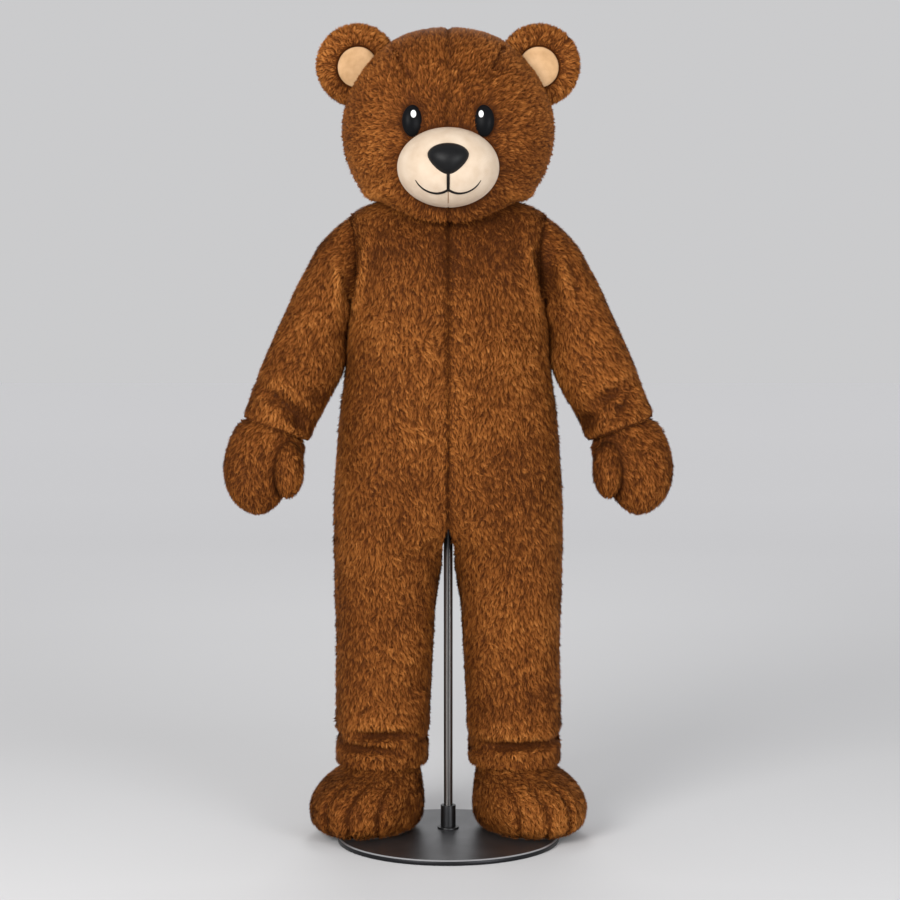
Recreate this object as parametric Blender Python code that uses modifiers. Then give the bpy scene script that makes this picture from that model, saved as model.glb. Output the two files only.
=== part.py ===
# Bear mascot costume on its display stand: a plush suit, head, mittens and boots, hollow as worn.
# Metres, +Z up. The bear faces -Y. Left and right are the wearer's, so left is +X.
# The origin is the middle of the underside of the stand's base plate.

from collections import namedtuple
from math import asin, acos, cos, sin, pi, radians, exp, copysign

import bmesh
import bpy
import numpy as np
from mathutils import Matrix, Vector

SEAM_GAP = 0.0003

# cloth thickness, backing and pile together
SUIT_WALL = 0.010
MITTEN_WALL = 0.009
BOOT_WALL = 0.011
HEAD_WALL = 0.018

# stand
BASE_RADIUS, BASE_THICK, BASE_BEVEL = 0.260, 0.012, 0.0025
POLE_RADIUS, POLE_Y = 0.0105, 0.055
FLANGE_RADIUS, FLANGE_THICK = 0.0255, 0.004
COLLAR_RADIUS, COLLAR_TOP = 0.018, 0.068
YOKE_RADIUS, YOKE_TOP = 0.011, 1.476
NECK_ROD_RADIUS = 0.009
REST_RADIUS, REST_THICK, REST_SAG = 0.050, 0.008, 0.0050

# suit: a section for each height, as the outer faces of the pile run
SUIT_ROUNDING = 2.35
SUIT_COLUMNS = 7
SuitSection = namedtuple("SuitSection", "z centre_x centre_y half_width front back slit")
SUIT_SECTIONS = [
    SuitSection(1.535, 0.000, 0.055, 0.099, 0.079, 0.080, 0.0000),
    SuitSection(1.512, 0.000, 0.055, 0.108, 0.083, 0.086, 0.0000),
    SuitSection(1.500, 0.000, 0.055, 0.145, 0.087, 0.095, 0.0000),
    SuitSection(1.487, 0.000, 0.055, 0.186, 0.091, 0.103, 0.0000),
    SuitSection(1.472, 0.000, 0.055, 0.216, 0.099, 0.112, 0.0000),
    SuitSection(1.455, 0.000, 0.055, 0.233, 0.109, 0.120, 0.0000),
    SuitSection(1.400, 0.000, 0.056, 0.242, 0.136, 0.138, 0.0000),
    SuitSection(1.330, 0.000, 0.057, 0.237, 0.147, 0.145, 0.0000),
    SuitSection(1.250, 0.000, 0.060, 0.226, 0.153, 0.147, 0.0000),
    SuitSection(1.140, 0.000, 0.063, 0.240, 0.160, 0.149, 0.0000),
    SuitSection(1.000, 0.012, 0.068, 0.243, 0.169, 0.153, 0.0000),
    SuitSection(0.860, 0.040, 0.074, 0.227, 0.171, 0.162, 0.0000),
    SuitSection(0.800, 0.060, 0.077, 0.210, 0.168, 0.164, 0.0000),
    SuitSection(0.775, 0.072, 0.078, 0.199, 0.164, 0.163, 0.0000),
    SuitSection(0.750, 0.087, 0.079, 0.184, 0.160, 0.161, 0.0000),
    SuitSection(0.725, 0.103, 0.080, 0.168, 0.155, 0.157, 0.0000),
    SuitSection(0.700, 0.122, 0.081, 0.149, 0.149, 0.152, 0.0070),
    SuitSection(0.685, 0.134, 0.082, 0.137, 0.145, 0.149, 0.0115),
    SuitSection(0.671, 0.142, 0.083, 0.129, 0.142, 0.146, 0.0125),
    SuitSection(0.650, 0.142, 0.084, 0.128, 0.139, 0.143, 0.0125),
    SuitSection(0.600, 0.145, 0.086, 0.125, 0.132, 0.136, 0.0125),
    SuitSection(0.460, 0.150, 0.089, 0.116, 0.121, 0.125, 0.0125),
    SuitSection(0.310, 0.155, 0.091, 0.113, 0.115, 0.118, 0.0125),
    SuitSection(0.168, 0.158, 0.092, 0.110, 0.113, 0.115, 0.0125),
]
NECK_HEIGHTS = [1.535, 1.512, 1.500, 1.487, 1.472]
BODY_HEIGHTS = [1.19, 1.10, 1.01, 0.93, 0.86, 0.80, 0.775, 0.75, 0.725, 0.70, 0.685, 0.671]
LEG_HEIGHTS = {
    "left": [0.65, 0.60, 0.50, 0.40, 0.315, 0.275, 0.252, 0.2365, 0.2245, 0.211, 0.191, 0.168],
    "right": [0.65, 0.60, 0.50, 0.40, 0.315, 0.278, 0.262, 0.250, 0.238, 0.225, 0.211, 0.191, 0.168],
}
SEAM_DIP = 0.003
# the columns of points are spread for a leg below the first height and for half the torso above the second
LEGS_TO_TORSO = (0.80, 1.20)

ARMHOLE_MIDDLE, ARMHOLE_HALF_HEIGHT, ARMHOLE_HALF_DEPTH = 1.354, 0.106, 0.078
ARMHOLE_STEPS = 7

ZIP_FOOT, ZIP_HALF_WIDTH = 0.93, 0.004

# soft folds where cloth gathers: height, depth, half height, the way it faces, its spread, its slope
Fold = namedtuple("Fold", "at depth reach facing spread slope")
LEG_FOLDS = {
    "left": [
        Fold(0.2245, 0.014, 0.010, 0.0, 1.25, 0.00),
        Fold(0.252, -0.004, 0.014, 0.2, 1.2, 0.00),
        Fold(0.205, -0.005, 0.009, 0.0, 1.6, 0.00),
        Fold(0.240, 0.007, 0.010, 3.0, 1.3, 0.03),
    ],
    "right": [
        Fold(0.250, 0.015, 0.009, 0.0, 0.75, 0.00),
        Fold(0.273, -0.004, 0.014, -0.2, 1.2, 0.00),
        Fold(0.225, 0.009, 0.009, -0.1, 1.4, 0.06),
        Fold(0.207, -0.005, 0.009, 0.0, 1.7, 0.00),
        Fold(0.233, 0.007, 0.010, 3.0, 1.3, -0.03),
    ],
}

# sleeve: rings from the armhole to the cuff, tilted from the plane of the armhole to that of the cuff
SleeveRing = namedtuple("SleeveRing", "along centre_x centre_y centre_z half_width half_depth tilt")
SLEEVE_RINGS = [
    SleeveRing(0.00, 0.226, 0.056, 1.354, 0.106, 0.080, 90.0),
    SleeveRing(0.12, 0.261, 0.055, 1.327, 0.084, 0.087, 68.0),
    SleeveRing(0.26, 0.283, 0.053, 1.275, 0.080, 0.086, 50.0),
    SleeveRing(0.40, 0.304, 0.050, 1.221, 0.079, 0.084, 32.0),
    SleeveRing(0.57, 0.325, 0.046, 1.155, 0.0865, 0.083, 24.0),
    SleeveRing(0.74, 0.350, 0.041, 1.088, 0.090, 0.083, 21.0),
    SleeveRing(0.88, 0.378, 0.036, 1.022, 0.087, 0.081, 20.0),
    SleeveRing(1.00, 0.405, 0.031, 0.965, 0.082, 0.077, 20.7),
]
SLEEVE_STEPS = [0.06, 0.14, 0.23, 0.33, 0.45, 0.57, 0.68, 0.76, 0.81, 0.85, 0.89, 0.93, 1.00]
SLEEVE_FOLDS = {
    "left": [
        Fold(0.84, 0.009, 0.030, 1.0, 0.9, 0.05),
        Fold(0.93, 0.008, 0.026, 2.2, 0.8, -0.04),
        Fold(0.30, 0.006, 0.100, 1.9, 0.5, 0.00),
        Fold(0.79, -0.003, 0.030, 1.2, 1.2, 0.00),
    ],
    "right": [
        Fold(0.82, 0.009, 0.030, 1.0, 0.9, -0.05),
        Fold(0.93, 0.009, 0.026, 2.3, 0.7, -0.04),
        Fold(0.30, 0.006, 0.100, 1.9, 0.5, 0.00),
        Fold(0.88, -0.003, 0.024, 0.8, 1.0, 0.00),
    ],
}

# mitten: rings from its cuff inside the sleeve to the tip
MittenRing = namedtuple("MittenRing", "centre_x centre_y centre_z half_width half_depth tilt")
MITTEN_RINGS = [
    MittenRing(0.3905, 0.0335, 0.996, 0.0725, 0.0668, 20.2),
    MittenRing(0.4045, 0.0310, 0.9655, 0.0712, 0.0662, 20.7),
    MittenRing(0.411, 0.030, 0.950, 0.083, 0.070, 20.7),
    MittenRing(0.421, 0.028, 0.927, 0.089, 0.075, 19.0),
    MittenRing(0.433, 0.025, 0.897, 0.090, 0.076, 16.0),
    MittenRing(0.443, 0.022, 0.866, 0.086, 0.073, 10.0),
    MittenRing(0.448, 0.020, 0.836, 0.078, 0.067, 6.0),
    MittenRing(0.449, 0.018, 0.808, 0.066, 0.057, 3.0),
    MittenRing(0.447, 0.017, 0.785, 0.049, 0.043, 0.0),
    MittenRing(0.445, 0.016, 0.768, 0.027, 0.024, 0.0),
]
MITTEN_TIP = Vector((0.444, 0.016, 0.761))
MITTEN_COLUMNS = 14
THUMB_MIDDLE = Vector((0.3715, -0.020, 0.872))
THUMB_SIZE = Vector((0.039, 0.044, 0.069))

# boot: level rings from the sole to the shaft inside the trouser leg
BootRing = namedtuple("BootRing", "z half_width toe heel to_leg toe_groove")
BOOT_RINGS = [
    BootRing(0.0125, 0.102, 0.160, 0.088, 0.00, 0.00),
    BootRing(0.024, 0.116, 0.180, 0.100, 0.00, 0.80),
    BootRing(0.047, 0.127, 0.195, 0.106, 0.00, 1.00),
    BootRing(0.072, 0.130, 0.196, 0.107, 0.00, 1.00),
    BootRing(0.096, 0.1275, 0.189, 0.105, 0.05, 0.90),
    BootRing(0.116, 0.1215, 0.172, 0.101, 0.15, 0.70),
    BootRing(0.134, 0.1135, 0.148, 0.098, 0.35, 0.45),
    BootRing(0.149, 0.1020, 0.119, 0.096, 0.62, 0.20),
    BootRing(0.160, 0.0945, 0.100, 0.095, 0.90, 0.05),
    BootRing(0.172, 0.0915, 0.0945, 0.095, 1.00, 0.00),
    BootRing(0.206, 0.0910, 0.0935, 0.094, 1.00, 0.00),
]
BOOT_MIDDLE = Vector((0.180, 0.088, 0.0))
BOOT_TOE_OUT = radians(19.0)
BOOT_EGG = 0.14
# places round a ring in degrees from the toe, the outer side first in the positive direction
BOOT_ANGLES = [-161, -142, -124, -106, -88, -73, -61, -51, -42, -33, -23, -14, -5, 4, 12, 20, 28, 37, 47, 58, 70,
               84, 100, 118, 138, 158, 180]
TOE_SEAMS = [-33.0, -5.0, 20.0]
TOE_SEAM_DEPTH, TOE_SEAM_SPREAD, TOE_PUFF = 0.011, 5.0, 0.004
LEG_MIDDLE = Vector((0.158, 0.092, 0.0))
SOLE_THICK, SOLE_EDGES = 0.008, (0.0015, 0.0090)

# head: level rings from the crown to the neck opening; drop lowers a ring at the chin
HEAD_MIDDLE_Y = 0.055
HEAD_TOP = 1.896
HEAD_ROUNDING = 2.12
HEAD_COLUMNS = 28
HeadRing = namedtuple("HeadRing", "z half_width front back drop")
HEAD_RINGS = [
    HeadRing(1.8915, 0.0553, 0.050, 0.050, 0.000),
    HeadRing(1.876, 0.1085, 0.100, 0.101, 0.000),
    HeadRing(1.847, 0.1545, 0.147, 0.150, 0.000),
    HeadRing(1.806, 0.1935, 0.183, 0.189, 0.000),
    HeadRing(1.756, 0.2255, 0.206, 0.213, 0.000),
    HeadRing(1.704, 0.2430, 0.217, 0.224, 0.000),
    HeadRing(1.652, 0.2475, 0.220, 0.226, 0.002),
    HeadRing(1.606, 0.2416, 0.217, 0.219, 0.006),
    HeadRing(1.568, 0.2292, 0.209, 0.206, 0.012),
    HeadRing(1.538, 0.2144, 0.196, 0.189, 0.024),
    HeadRing(1.514, 0.1946, 0.179, 0.168, 0.049),
    HeadRing(1.504, 0.1719, 0.158, 0.147, 0.068),
    HeadRing(1.507, 0.1492, 0.139, 0.129, 0.054),
    HeadRing(1.517, 0.1304, 0.114, 0.112, 0.010),
]

# ear: a thick stuffed disc with a sunken front, turned about its own middle
EAR_MIDDLE = Vector((0.2125, 0.060, 1.8105))
EAR_RADIUS, EAR_HALF_THICK = 0.0965, 0.032
EAR_RIM_INNER, EAR_RECESS = 0.0485, 0.014
EAR_TURN = 8.0
PAD_RADIUS, PAD_THICK = 0.0470, 0.010
PAD_INWARDS, PAD_DOWN = 0.005, 0.007  # the sunken front and its pad sit off the middle of the ear
EAR_STEPS = 22

# face, seated on the head
MUZZLE_MIDDLE = Vector((0.0, -0.148, 1.5575))
MUZZLE_SIZE = Vector((0.1145, 0.092, 0.0895))
NOSE_MIDDLE = Vector((0.0, -0.222, 1.5690))
NOSE_SIZE = Vector((0.0500, 0.035, 0.0370))
NOSE_TAPER = 0.30
EYE_MIDDLE = Vector((0.0785, -0.1470, 1.6610))
EYE_SIZE = Vector((0.0240, 0.018, 0.0362))
EYE_TURN = 17.0

FUR_BROWN = (0.235, 0.088, 0.026)
CREAM = (0.80, 0.60, 0.40)
EAR_TAN = (0.76, 0.52, 0.31)
GLOSS_BLACK = (0.012, 0.012, 0.014)
SOLE_BLACK = (0.03, 0.028, 0.026)
STEEL = (0.10, 0.10, 0.105)
ZIP_BROWN = (0.05, 0.025, 0.012)


# ---- scene, collections and materials ----

for old in list(bpy.data.objects):
    bpy.data.objects.remove(old, do_unlink=True)


def collection_named(name):
    made = bpy.data.collections.new(name)
    bpy.context.scene.collection.children.link(made)
    return made


costume = collection_named("bear_mascot_costume")
forms = collection_named("forms")


def material(name, colour, roughness, metallic=0.0):
    made = bpy.data.materials.new(name)
    made.use_nodes = True
    shader = made.node_tree.nodes["Principled BSDF"]
    shader.inputs["Base Color"].default_value = (*colour, 1.0)
    shader.inputs["Roughness"].default_value = roughness
    shader.inputs["Metallic"].default_value = metallic
    return made


def add_object(name, mesh, *look, group=costume):
    made = bpy.data.objects.new(name, mesh)
    group.objects.link(made)
    if look:
        made.data.materials.clear()
        made.data.materials.append(material(name, *look))
    return made


def add_form(name, mesh):
    """A hidden solid that others are cut with."""
    form = add_object(name, mesh, group=forms)
    form.hide_render = True
    form.display_type = "WIRE"
    return form


def mesh_of(name, shape, smooth=True):
    made = bpy.data.meshes.new(name)
    shape.to_mesh(made)
    shape.free()
    if smooth:
        made.shade_smooth()
        made.set_sharp_from_angle(angle=radians(50))
    return made


# ---- sections ----

def slopes(x, y):
    """Slopes that keep a smooth curve through the points free of overshoot."""
    step = np.diff(y) / np.diff(x)
    inner = np.where(step[1:] * step[:-1] > 0, 2 * step[1:] * step[:-1] / (step[1:] + step[:-1] + 1e-12), 0)
    return np.concatenate([[step[0]], inner, [step[-1]]])


def section_at(table, key, value):
    """The table's section at a place between its rows, each column on a smooth curve."""
    rows = sorted(table, key=lambda row: getattr(row, key))
    x = np.array([getattr(row, key) for row in rows])
    at = int(np.clip(np.searchsorted(x, value) - 1, 0, len(x) - 2))
    t = float(np.clip((value - x[at]) / (x[at + 1] - x[at]), 0, 1))
    span = x[at + 1] - x[at]
    blend = ((1 + 2 * t) * (1 - t) ** 2, t * (1 - t) ** 2 * span, t * t * (3 - 2 * t), t * t * (t - 1) * span)
    columns = []
    for y in np.array(rows, float).T:
        slope = slopes(x, y)
        columns.append(float(np.dot(blend, (y[at], slope[at], y[at + 1], slope[at + 1]))))
    return type(rows[0])(*columns)


def rounded(value, rounding):
    return copysign(abs(value) ** (2 / rounding), value)


def lift_of(folds, along, across, facing):
    total = 0.0
    for fold in folds:
        turn = (facing - fold.facing + pi) % (2 * pi) - pi
        height = (along - fold.at - fold.slope * across) / fold.reach
        total -= fold.depth * exp(-height * height) * exp(-((turn / fold.spread) ** 2))
    return total


# ---- skins: one surface for each garment, cut into its pieces afterwards ----

class Skin:
    """A surface whose faces each belong to a piece, and whose points may stand proud by their lift."""

    def __init__(self, pieces):
        self.shape = bmesh.new()
        self.lift = self.shape.verts.layers.float.new("lift")
        self.pieces = pieces
        self.points = {}

    def point(self, place, lift=0.0):
        key = tuple(round(c * 1e6) for c in place)
        if key not in self.points:
            self.points[key] = self.shape.verts.new(place)
            self.points[key][self.lift] = lift
        return self.points[key]

    def face(self, corners, piece):
        corners = [c for i, c in enumerate(corners) if c is not corners[i - 1]]
        if len(corners) > 2:
            self.shape.faces.new(corners).material_index = self.pieces.index(piece)

    def strip(self, upper, lower, piece, turned=False):
        """Faces between two rows of points, seen from outside with the rows running left to right."""
        for i in range(len(upper) - 1):
            corners = [upper[i], lower[i], lower[i + 1], upper[i + 1]]
            self.face(corners[::-1] if turned else corners, piece)

    def seam_pull(self, own, name_index):
        """How far each seam point moves into its own piece, so that neighbours lie a seam gap apart."""
        inward = {}
        for face in own:
            for loop in face.loops:
                if any(f.material_index != name_index for f in loop.edge.link_faces):
                    along = loop.link_loop_next.vert.co - loop.vert.co
                    side = face.normal.cross(along).normalized()
                    for vert in loop.edge.verts:
                        inward.setdefault(vert, []).append(side)
        pull = {}
        for vert, sides in inward.items():
            middle = sum(sides, Vector()) / len(sides)
            pull[vert] = middle * (SEAM_GAP / 2) / max(middle.length_squared, 0.35)
        return pull

    def cut(self, wall):
        """A closed wall for each piece: outer points, inner points and a rim along its edges."""
        self.shape.normal_update()
        self.shape.verts.index_update()
        meshes = {}
        for index, name in enumerate(self.pieces):
            own = [f for f in self.shape.faces if f.material_index == index]
            pull = self.seam_pull(own, index)
            made = bmesh.new()
            outer, inner = {}, {}
            for vert in {v for f in own for v in f.verts}:
                moved = vert.co + pull.get(vert, Vector())
                depth = wall * min(vert.calc_shell_factor(), 1.5)
                outer[vert] = made.verts.new(moved + vert.normal * vert[self.lift])
                inner[vert] = made.verts.new(moved - vert.normal * depth)
            for face in own:
                made.faces.new([outer[v] for v in face.verts])
                made.faces.new([inner[v] for v in reversed(face.verts)])
                for loop in face.loops:
                    if not any(f is not face and f.material_index == index for f in loop.edge.link_faces):
                        a, b = loop.vert, loop.link_loop_next.vert
                        rim = [outer[b], outer[a], inner[a], inner[b]]
                        start = 1 if a.index < b.index else 0  # neighbours share the rim's diagonal
                        for corners in ((0, 1, 2), (0, 2, 3)):
                            made.faces.new([rim[(start + c) % 4] for c in corners])
            meshes[name] = made
        return meshes


def add_pieces(skin, wall, *look):
    return [add_object(name, mesh_of(name, shape), *look) for name, shape in skin.cut(wall).items()]


SIDES = {"left": 1, "right": -1}


# ---- suit ----

def suit_row(z, side, back):
    """Points from the centre seam or inner leg seam to the side seam or armhole, with their lift."""
    row = section_at(SUIT_SECTIONS, "z", z)
    facing_sign = 1 if back else -1
    depth = row.back if back else row.front
    inner_x = row.slit
    if back and z >= ZIP_FOOT:
        inner_x = ZIP_HALF_WIDTH
    last = pi / 2
    rise = (z - ARMHOLE_MIDDLE) / ARMHOLE_HALF_HEIGHT
    if abs(rise) < 1:
        hole = ARMHOLE_HALF_DEPTH * (1 - rise * rise) ** 0.5
        last = acos((hole / depth) ** (SUIT_ROUNDING / 2))
    points = []
    leg, torso = LEGS_TO_TORSO
    legs = float(np.clip((torso - z) / (torso - leg), 0, 1))
    inner_reach = max(inner_x, row.centre_x - row.half_width)
    for i in range(SUIT_COLUMNS + 1):
        share = i / SUIT_COLUMNS
        across = legs * (1 - cos(pi * share)) / 2 + (1 - legs) * sin(pi / 2 * share)
        x = inner_reach + (row.centre_x + row.half_width - inner_reach) * across
        angle = asin(rounded(max(min((x - row.centre_x) / row.half_width, 1.0), -1.0), 4 / SUIT_ROUNDING))
        angle -= (pi / 2 - last) * share ** 3
        x = row.centre_x + row.half_width * rounded(sin(angle), SUIT_ROUNDING)
        y = row.centre_y + facing_sign * depth * rounded(cos(angle), SUIT_ROUNDING)
        facing = pi - angle if back else angle
        lift = lift_of(LEG_FOLDS[side], z, x - row.centre_x, facing) if z < 0.40 else 0.0
        if i == 0 and z > 0.70:
            lift -= SEAM_DIP
        points.append((Vector((x * SIDES[side], y, z)), lift))
    return points


def armhole_heights():
    return [ARMHOLE_MIDDLE + ARMHOLE_HALF_HEIGHT * cos(pi * i / ARMHOLE_STEPS) for i in range(ARMHOLE_STEPS + 1)]


def sleeve_ring(along, side):
    ring = section_at(SLEEVE_RINGS, "along", along)
    tilt = radians(ring.tilt)
    points = []
    for i in range(2 * ARMHOLE_STEPS):
        angle = pi * i / ARMHOLE_STEPS
        across = ring.half_width * cos(angle)
        place = Vector((ring.centre_x + across * cos(tilt), ring.centre_y - ring.half_depth * sin(angle),
                        ring.centre_z + across * sin(tilt)))
        place.x *= SIDES[side]
        points.append((place, lift_of(SLEEVE_FOLDS[side], along, 5 * across, angle)))
    return points


def build_suit():
    names = [f"suit_{part}_{side}" for part in ("front", "back") for side in SIDES]
    skin = Skin(names + ["suit_zip", "sleeve_left", "sleeve_right"])
    body = NECK_HEIGHTS + armhole_heights() + BODY_HEIGHTS
    rows = {}
    for side, part in [(s, p) for s in SIDES for p in ("front", "back")]:
        made = [[skin.point(*spot) for spot in suit_row(z, side, part == "back")] for z in body + LEG_HEIGHTS[side]]
        for upper, lower in zip(made, made[1:]):
            turned = (part == "back") == (side == "left")
            skin.strip(upper, lower, f"suit_{part}_{side}", turned)
        rows[part, side] = made
    zipped = [i for i, z in enumerate(body) if z >= ZIP_FOOT]
    for i in zipped:
        upper = [rows["back", side][i][0] for side in ("left", "right")]
        lower = [rows["back", side][i + 1][0] for side in ("left", "right")]
        skin.strip(upper, lower, "suit_zip")
    first = len(NECK_HEIGHTS)
    for side in SIDES:
        front = [rows["front", side][first + i][-1] for i in range(ARMHOLE_STEPS + 1)]
        back = [rows["back", side][first + i][-1] for i in range(ARMHOLE_STEPS - 1, 0, -1)]
        ring = front + back
        for along in SLEEVE_STEPS:
            after = [skin.point(*spot) for spot in sleeve_ring(along, side)]
            skin.strip(ring + ring[:1], after + after[:1], f"sleeve_{side}", side == "left")
            ring = after
    add_pieces(skin, SUIT_WALL, FUR_BROWN, 0.9)


# ---- mittens ----

def mitten_ring(ring, side):
    tilt = radians(ring.tilt)
    points = []
    for i in range(MITTEN_COLUMNS):
        angle = 2 * pi * i / MITTEN_COLUMNS
        across = ring.half_width * cos(angle)
        place = Vector((ring.centre_x + across * cos(tilt), ring.centre_y - ring.half_depth * sin(angle),
                        ring.centre_z + across * sin(tilt)))
        place.x *= SIDES[side]
        points.append(place)
    return points


def mitten_skin(side):
    skin = Skin([f"mitten_back_{side}", f"mitten_palm_{side}"])
    rings = [[skin.point(p) for p in mitten_ring(ring, side)] for ring in MITTEN_RINGS]
    tip = skin.point((MITTEN_TIP.x * SIDES[side], MITTEN_TIP.y, MITTEN_TIP.z))
    rings.append([tip] * MITTEN_COLUMNS)
    half = MITTEN_COLUMNS // 2
    for upper, lower in zip(rings, rings[1:]):
        upper, lower = upper + upper[:1], lower + lower[:1]
        skin.strip(upper[:half + 1], lower[:half + 1], f"mitten_back_{side}", side == "left")
        skin.strip(upper[half:], lower[half:], f"mitten_palm_{side}", side == "left")
    return skin


def closed_form(skin, name, proud=SEAM_GAP):
    """The skin's outside as one closed cutter, proud by a seam gap, with its open end capped."""
    shape = skin.shape
    shape.normal_update()
    moved = {v: v.co + v.normal * (proud + v[skin.lift]) for v in shape.verts}
    made = bmesh.new()
    copies = {v: made.verts.new(moved[v]) for v in shape.verts}
    for face in shape.faces:
        made.faces.new([copies[v] for v in face.verts])
    rim = [e for e in made.edges if e.is_boundary]
    bmesh.ops.holes_fill(made, edges=rim, sides=0)
    bmesh.ops.triangulate(made, faces=[f for f in made.faces if len(f.verts) > 4])
    bmesh.ops.recalc_face_normals(made, faces=made.faces)
    return add_form(name, mesh_of(name, made))


def cut_by(piece, form):
    cut = piece.modifiers.new(form.name, "BOOLEAN")
    cut.operation = "DIFFERENCE"
    cut.solver = "EXACT"
    cut.object = form


def ball(name, middle, size, turn=0.0, segments=16, rings=10):
    shape = bmesh.new()
    bmesh.ops.create_uvsphere(shape, u_segments=segments, v_segments=rings, radius=1.0)
    place = Matrix.Translation(middle) @ Matrix.Rotation(radians(turn), 4, "Z") @ Matrix.Diagonal((*size, 1))
    bmesh.ops.transform(shape, matrix=place, verts=shape.verts)
    return mesh_of(name, shape)


def build_mittens():
    for side, sign in SIDES.items():
        skin = mitten_skin(side)
        form = closed_form(skin, f"form_mitten_{side}")
        middle = Vector((THUMB_MIDDLE.x * sign, THUMB_MIDDLE.y, THUMB_MIDDLE.z))
        inside = ball("inside", middle, THUMB_SIZE - Vector((MITTEN_WALL,) * 3), segments=12, rings=8)
        hollow = add_form(f"form_thumb_{side}", inside)
        outside = ball("thumb", middle, THUMB_SIZE, segments=14, rings=8)
        thumb = add_object(f"mitten_thumb_{side}", outside, FUR_BROWN, 0.9)
        cut_by(thumb, form)
        cut_by(thumb, hollow)
        for piece in add_pieces(skin, MITTEN_WALL, FUR_BROWN, 0.9):
            cut_by(piece, hollow)


# ---- boots ----

def toe_shape(angle, strength):
    """How far a boot's front stands out or sinks in between its toes."""
    groove = sum(exp(-(((angle - seam) / TOE_SEAM_SPREAD) ** 2)) for seam in TOE_SEAMS)
    fullness = max(cos(radians(angle)), 0.0)
    return strength * (TOE_PUFF * fullness - (TOE_SEAM_DEPTH + TOE_PUFF) * groove)


def boot_points(ring, side, inset=0.0):
    centre = BOOT_MIDDLE.lerp(LEG_MIDDLE, ring.to_leg)
    toe_out = BOOT_TOE_OUT * (1 - ring.to_leg)
    points = []
    for degrees in BOOT_ANGLES:
        angle = radians(degrees)
        reach = ring.toe if cos(angle) > 0 else ring.heel
        lift = toe_shape(degrees, ring.toe_groove)
        across = (ring.half_width - inset) * sin(angle) * (1 + BOOT_EGG * cos(angle) * (1 - ring.to_leg))
        forward = (reach - inset) * cos(angle)
        x = centre.x + across * cos(toe_out) + forward * sin(toe_out)
        y = centre.y - forward * cos(toe_out) + across * sin(toe_out)
        points.append((Vector((x * SIDES[side], y, ring.z)), lift))
    return points


def build_boots():
    for side in SIDES:
        skin = Skin([f"boot_{side}"])
        rings = [[skin.point(*spot) for spot in boot_points(ring, side)] for ring in BOOT_RINGS]
        for lower, upper in zip(rings, rings[1:]):
            skin.strip(upper + upper[:1], lower + lower[:1], f"boot_{side}", side == "right")
        add_pieces(skin, BOOT_WALL, FUR_BROWN, 0.9)
        shape = bmesh.new()
        outlines = []
        for inset, z in zip(SOLE_EDGES, (BASE_THICK + SEAM_GAP, BASE_THICK + SEAM_GAP + SOLE_THICK)):
            edge = boot_points(BOOT_RINGS[0], side, inset)
            outlines.append([shape.verts.new((place.x, place.y, z)) for place, lift in edge])
        foot, top = outlines
        shape.faces.new(foot)
        shape.faces.new(top)
        for i in range(len(foot)):
            shape.faces.new([foot[i - 1], foot[i], top[i], top[i - 1]])
        bmesh.ops.recalc_face_normals(shape, faces=shape.faces)
        add_object(f"boot_sole_{side}", mesh_of("sole", shape), SOLE_BLACK, 0.7)


# ---- head ----

def head_ring(ring):
    points = []
    for i in range(HEAD_COLUMNS):
        angle = 2 * pi * i / HEAD_COLUMNS
        reach = ring.front if cos(angle) > 0 else ring.back
        x = ring.half_width * rounded(sin(angle), HEAD_ROUNDING)
        y = HEAD_MIDDLE_Y - reach * rounded(cos(angle), HEAD_ROUNDING)
        chin = max(cos(angle), 0.0) ** 2
        points.append(Vector((x, y, ring.z - ring.drop * chin)))
    return points


def head_skin():
    quarters = ["head_front_left", "head_back_left", "head_back_right", "head_front_right"]
    skin = Skin(quarters)
    crown = skin.point((0, HEAD_MIDDLE_Y, HEAD_TOP))
    rings = [[crown] * HEAD_COLUMNS] + [[skin.point(p) for p in head_ring(ring)] for ring in HEAD_RINGS]
    step = HEAD_COLUMNS // 4
    for upper, lower in zip(rings, rings[1:]):
        upper, lower = upper + upper[:1], lower + lower[:1]
        for i, name in enumerate(quarters):
            skin.strip(upper[i * step:(i + 1) * step + 1], lower[i * step:(i + 1) * step + 1], name)
    return skin


def turned(name, profile, middle, look, steps=EAR_STEPS):
    """A profile of (radius, height) pairs from top to bottom, turned about its middle."""
    shape = bmesh.new()
    points = [shape.verts.new((radius, 0, height)) for radius, height in profile]
    for a, b in zip(points, points[1:]):
        shape.edges.new((a, b))
    made = add_object(name, mesh_of(name, shape, smooth=False), *look)
    screw = made.modifiers.new("turn", "SCREW")
    screw.axis = "Z"
    screw.angle = 2 * pi
    screw.steps = screw.render_steps = steps
    screw.use_merge_vertices = True
    screw.merge_threshold = 0.00005
    made.matrix_world = Matrix.Translation(middle)
    return made


def ear_profile():
    """Rings as radius, height and share of the shift, from the middle of the back to that of the sunken front."""
    rim_middle = (EAR_RADIUS + EAR_RIM_INNER) / 2
    rim_half = (EAR_RADIUS - EAR_RIM_INNER) / 2
    rings = [(0.0, EAR_HALF_THICK * 0.86, 0), (EAR_RIM_INNER, EAR_HALF_THICK * 0.95, 0)]
    for degrees in range(75, -76, -25):
        angle = radians(degrees)
        rings.append((rim_middle + rim_half * cos(angle), EAR_HALF_THICK * sin(angle), 0))
    rings += [(EAR_RIM_INNER + 0.008, -EAR_HALF_THICK * 0.92, 1), (EAR_RIM_INNER, -EAR_HALF_THICK + 0.007, 1)]
    rings += [(EAR_RIM_INNER - 0.0005, -EAR_HALF_THICK + EAR_RECESS, 1), (0.0, -EAR_HALF_THICK + EAR_RECESS, 1)]
    return rings


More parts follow.
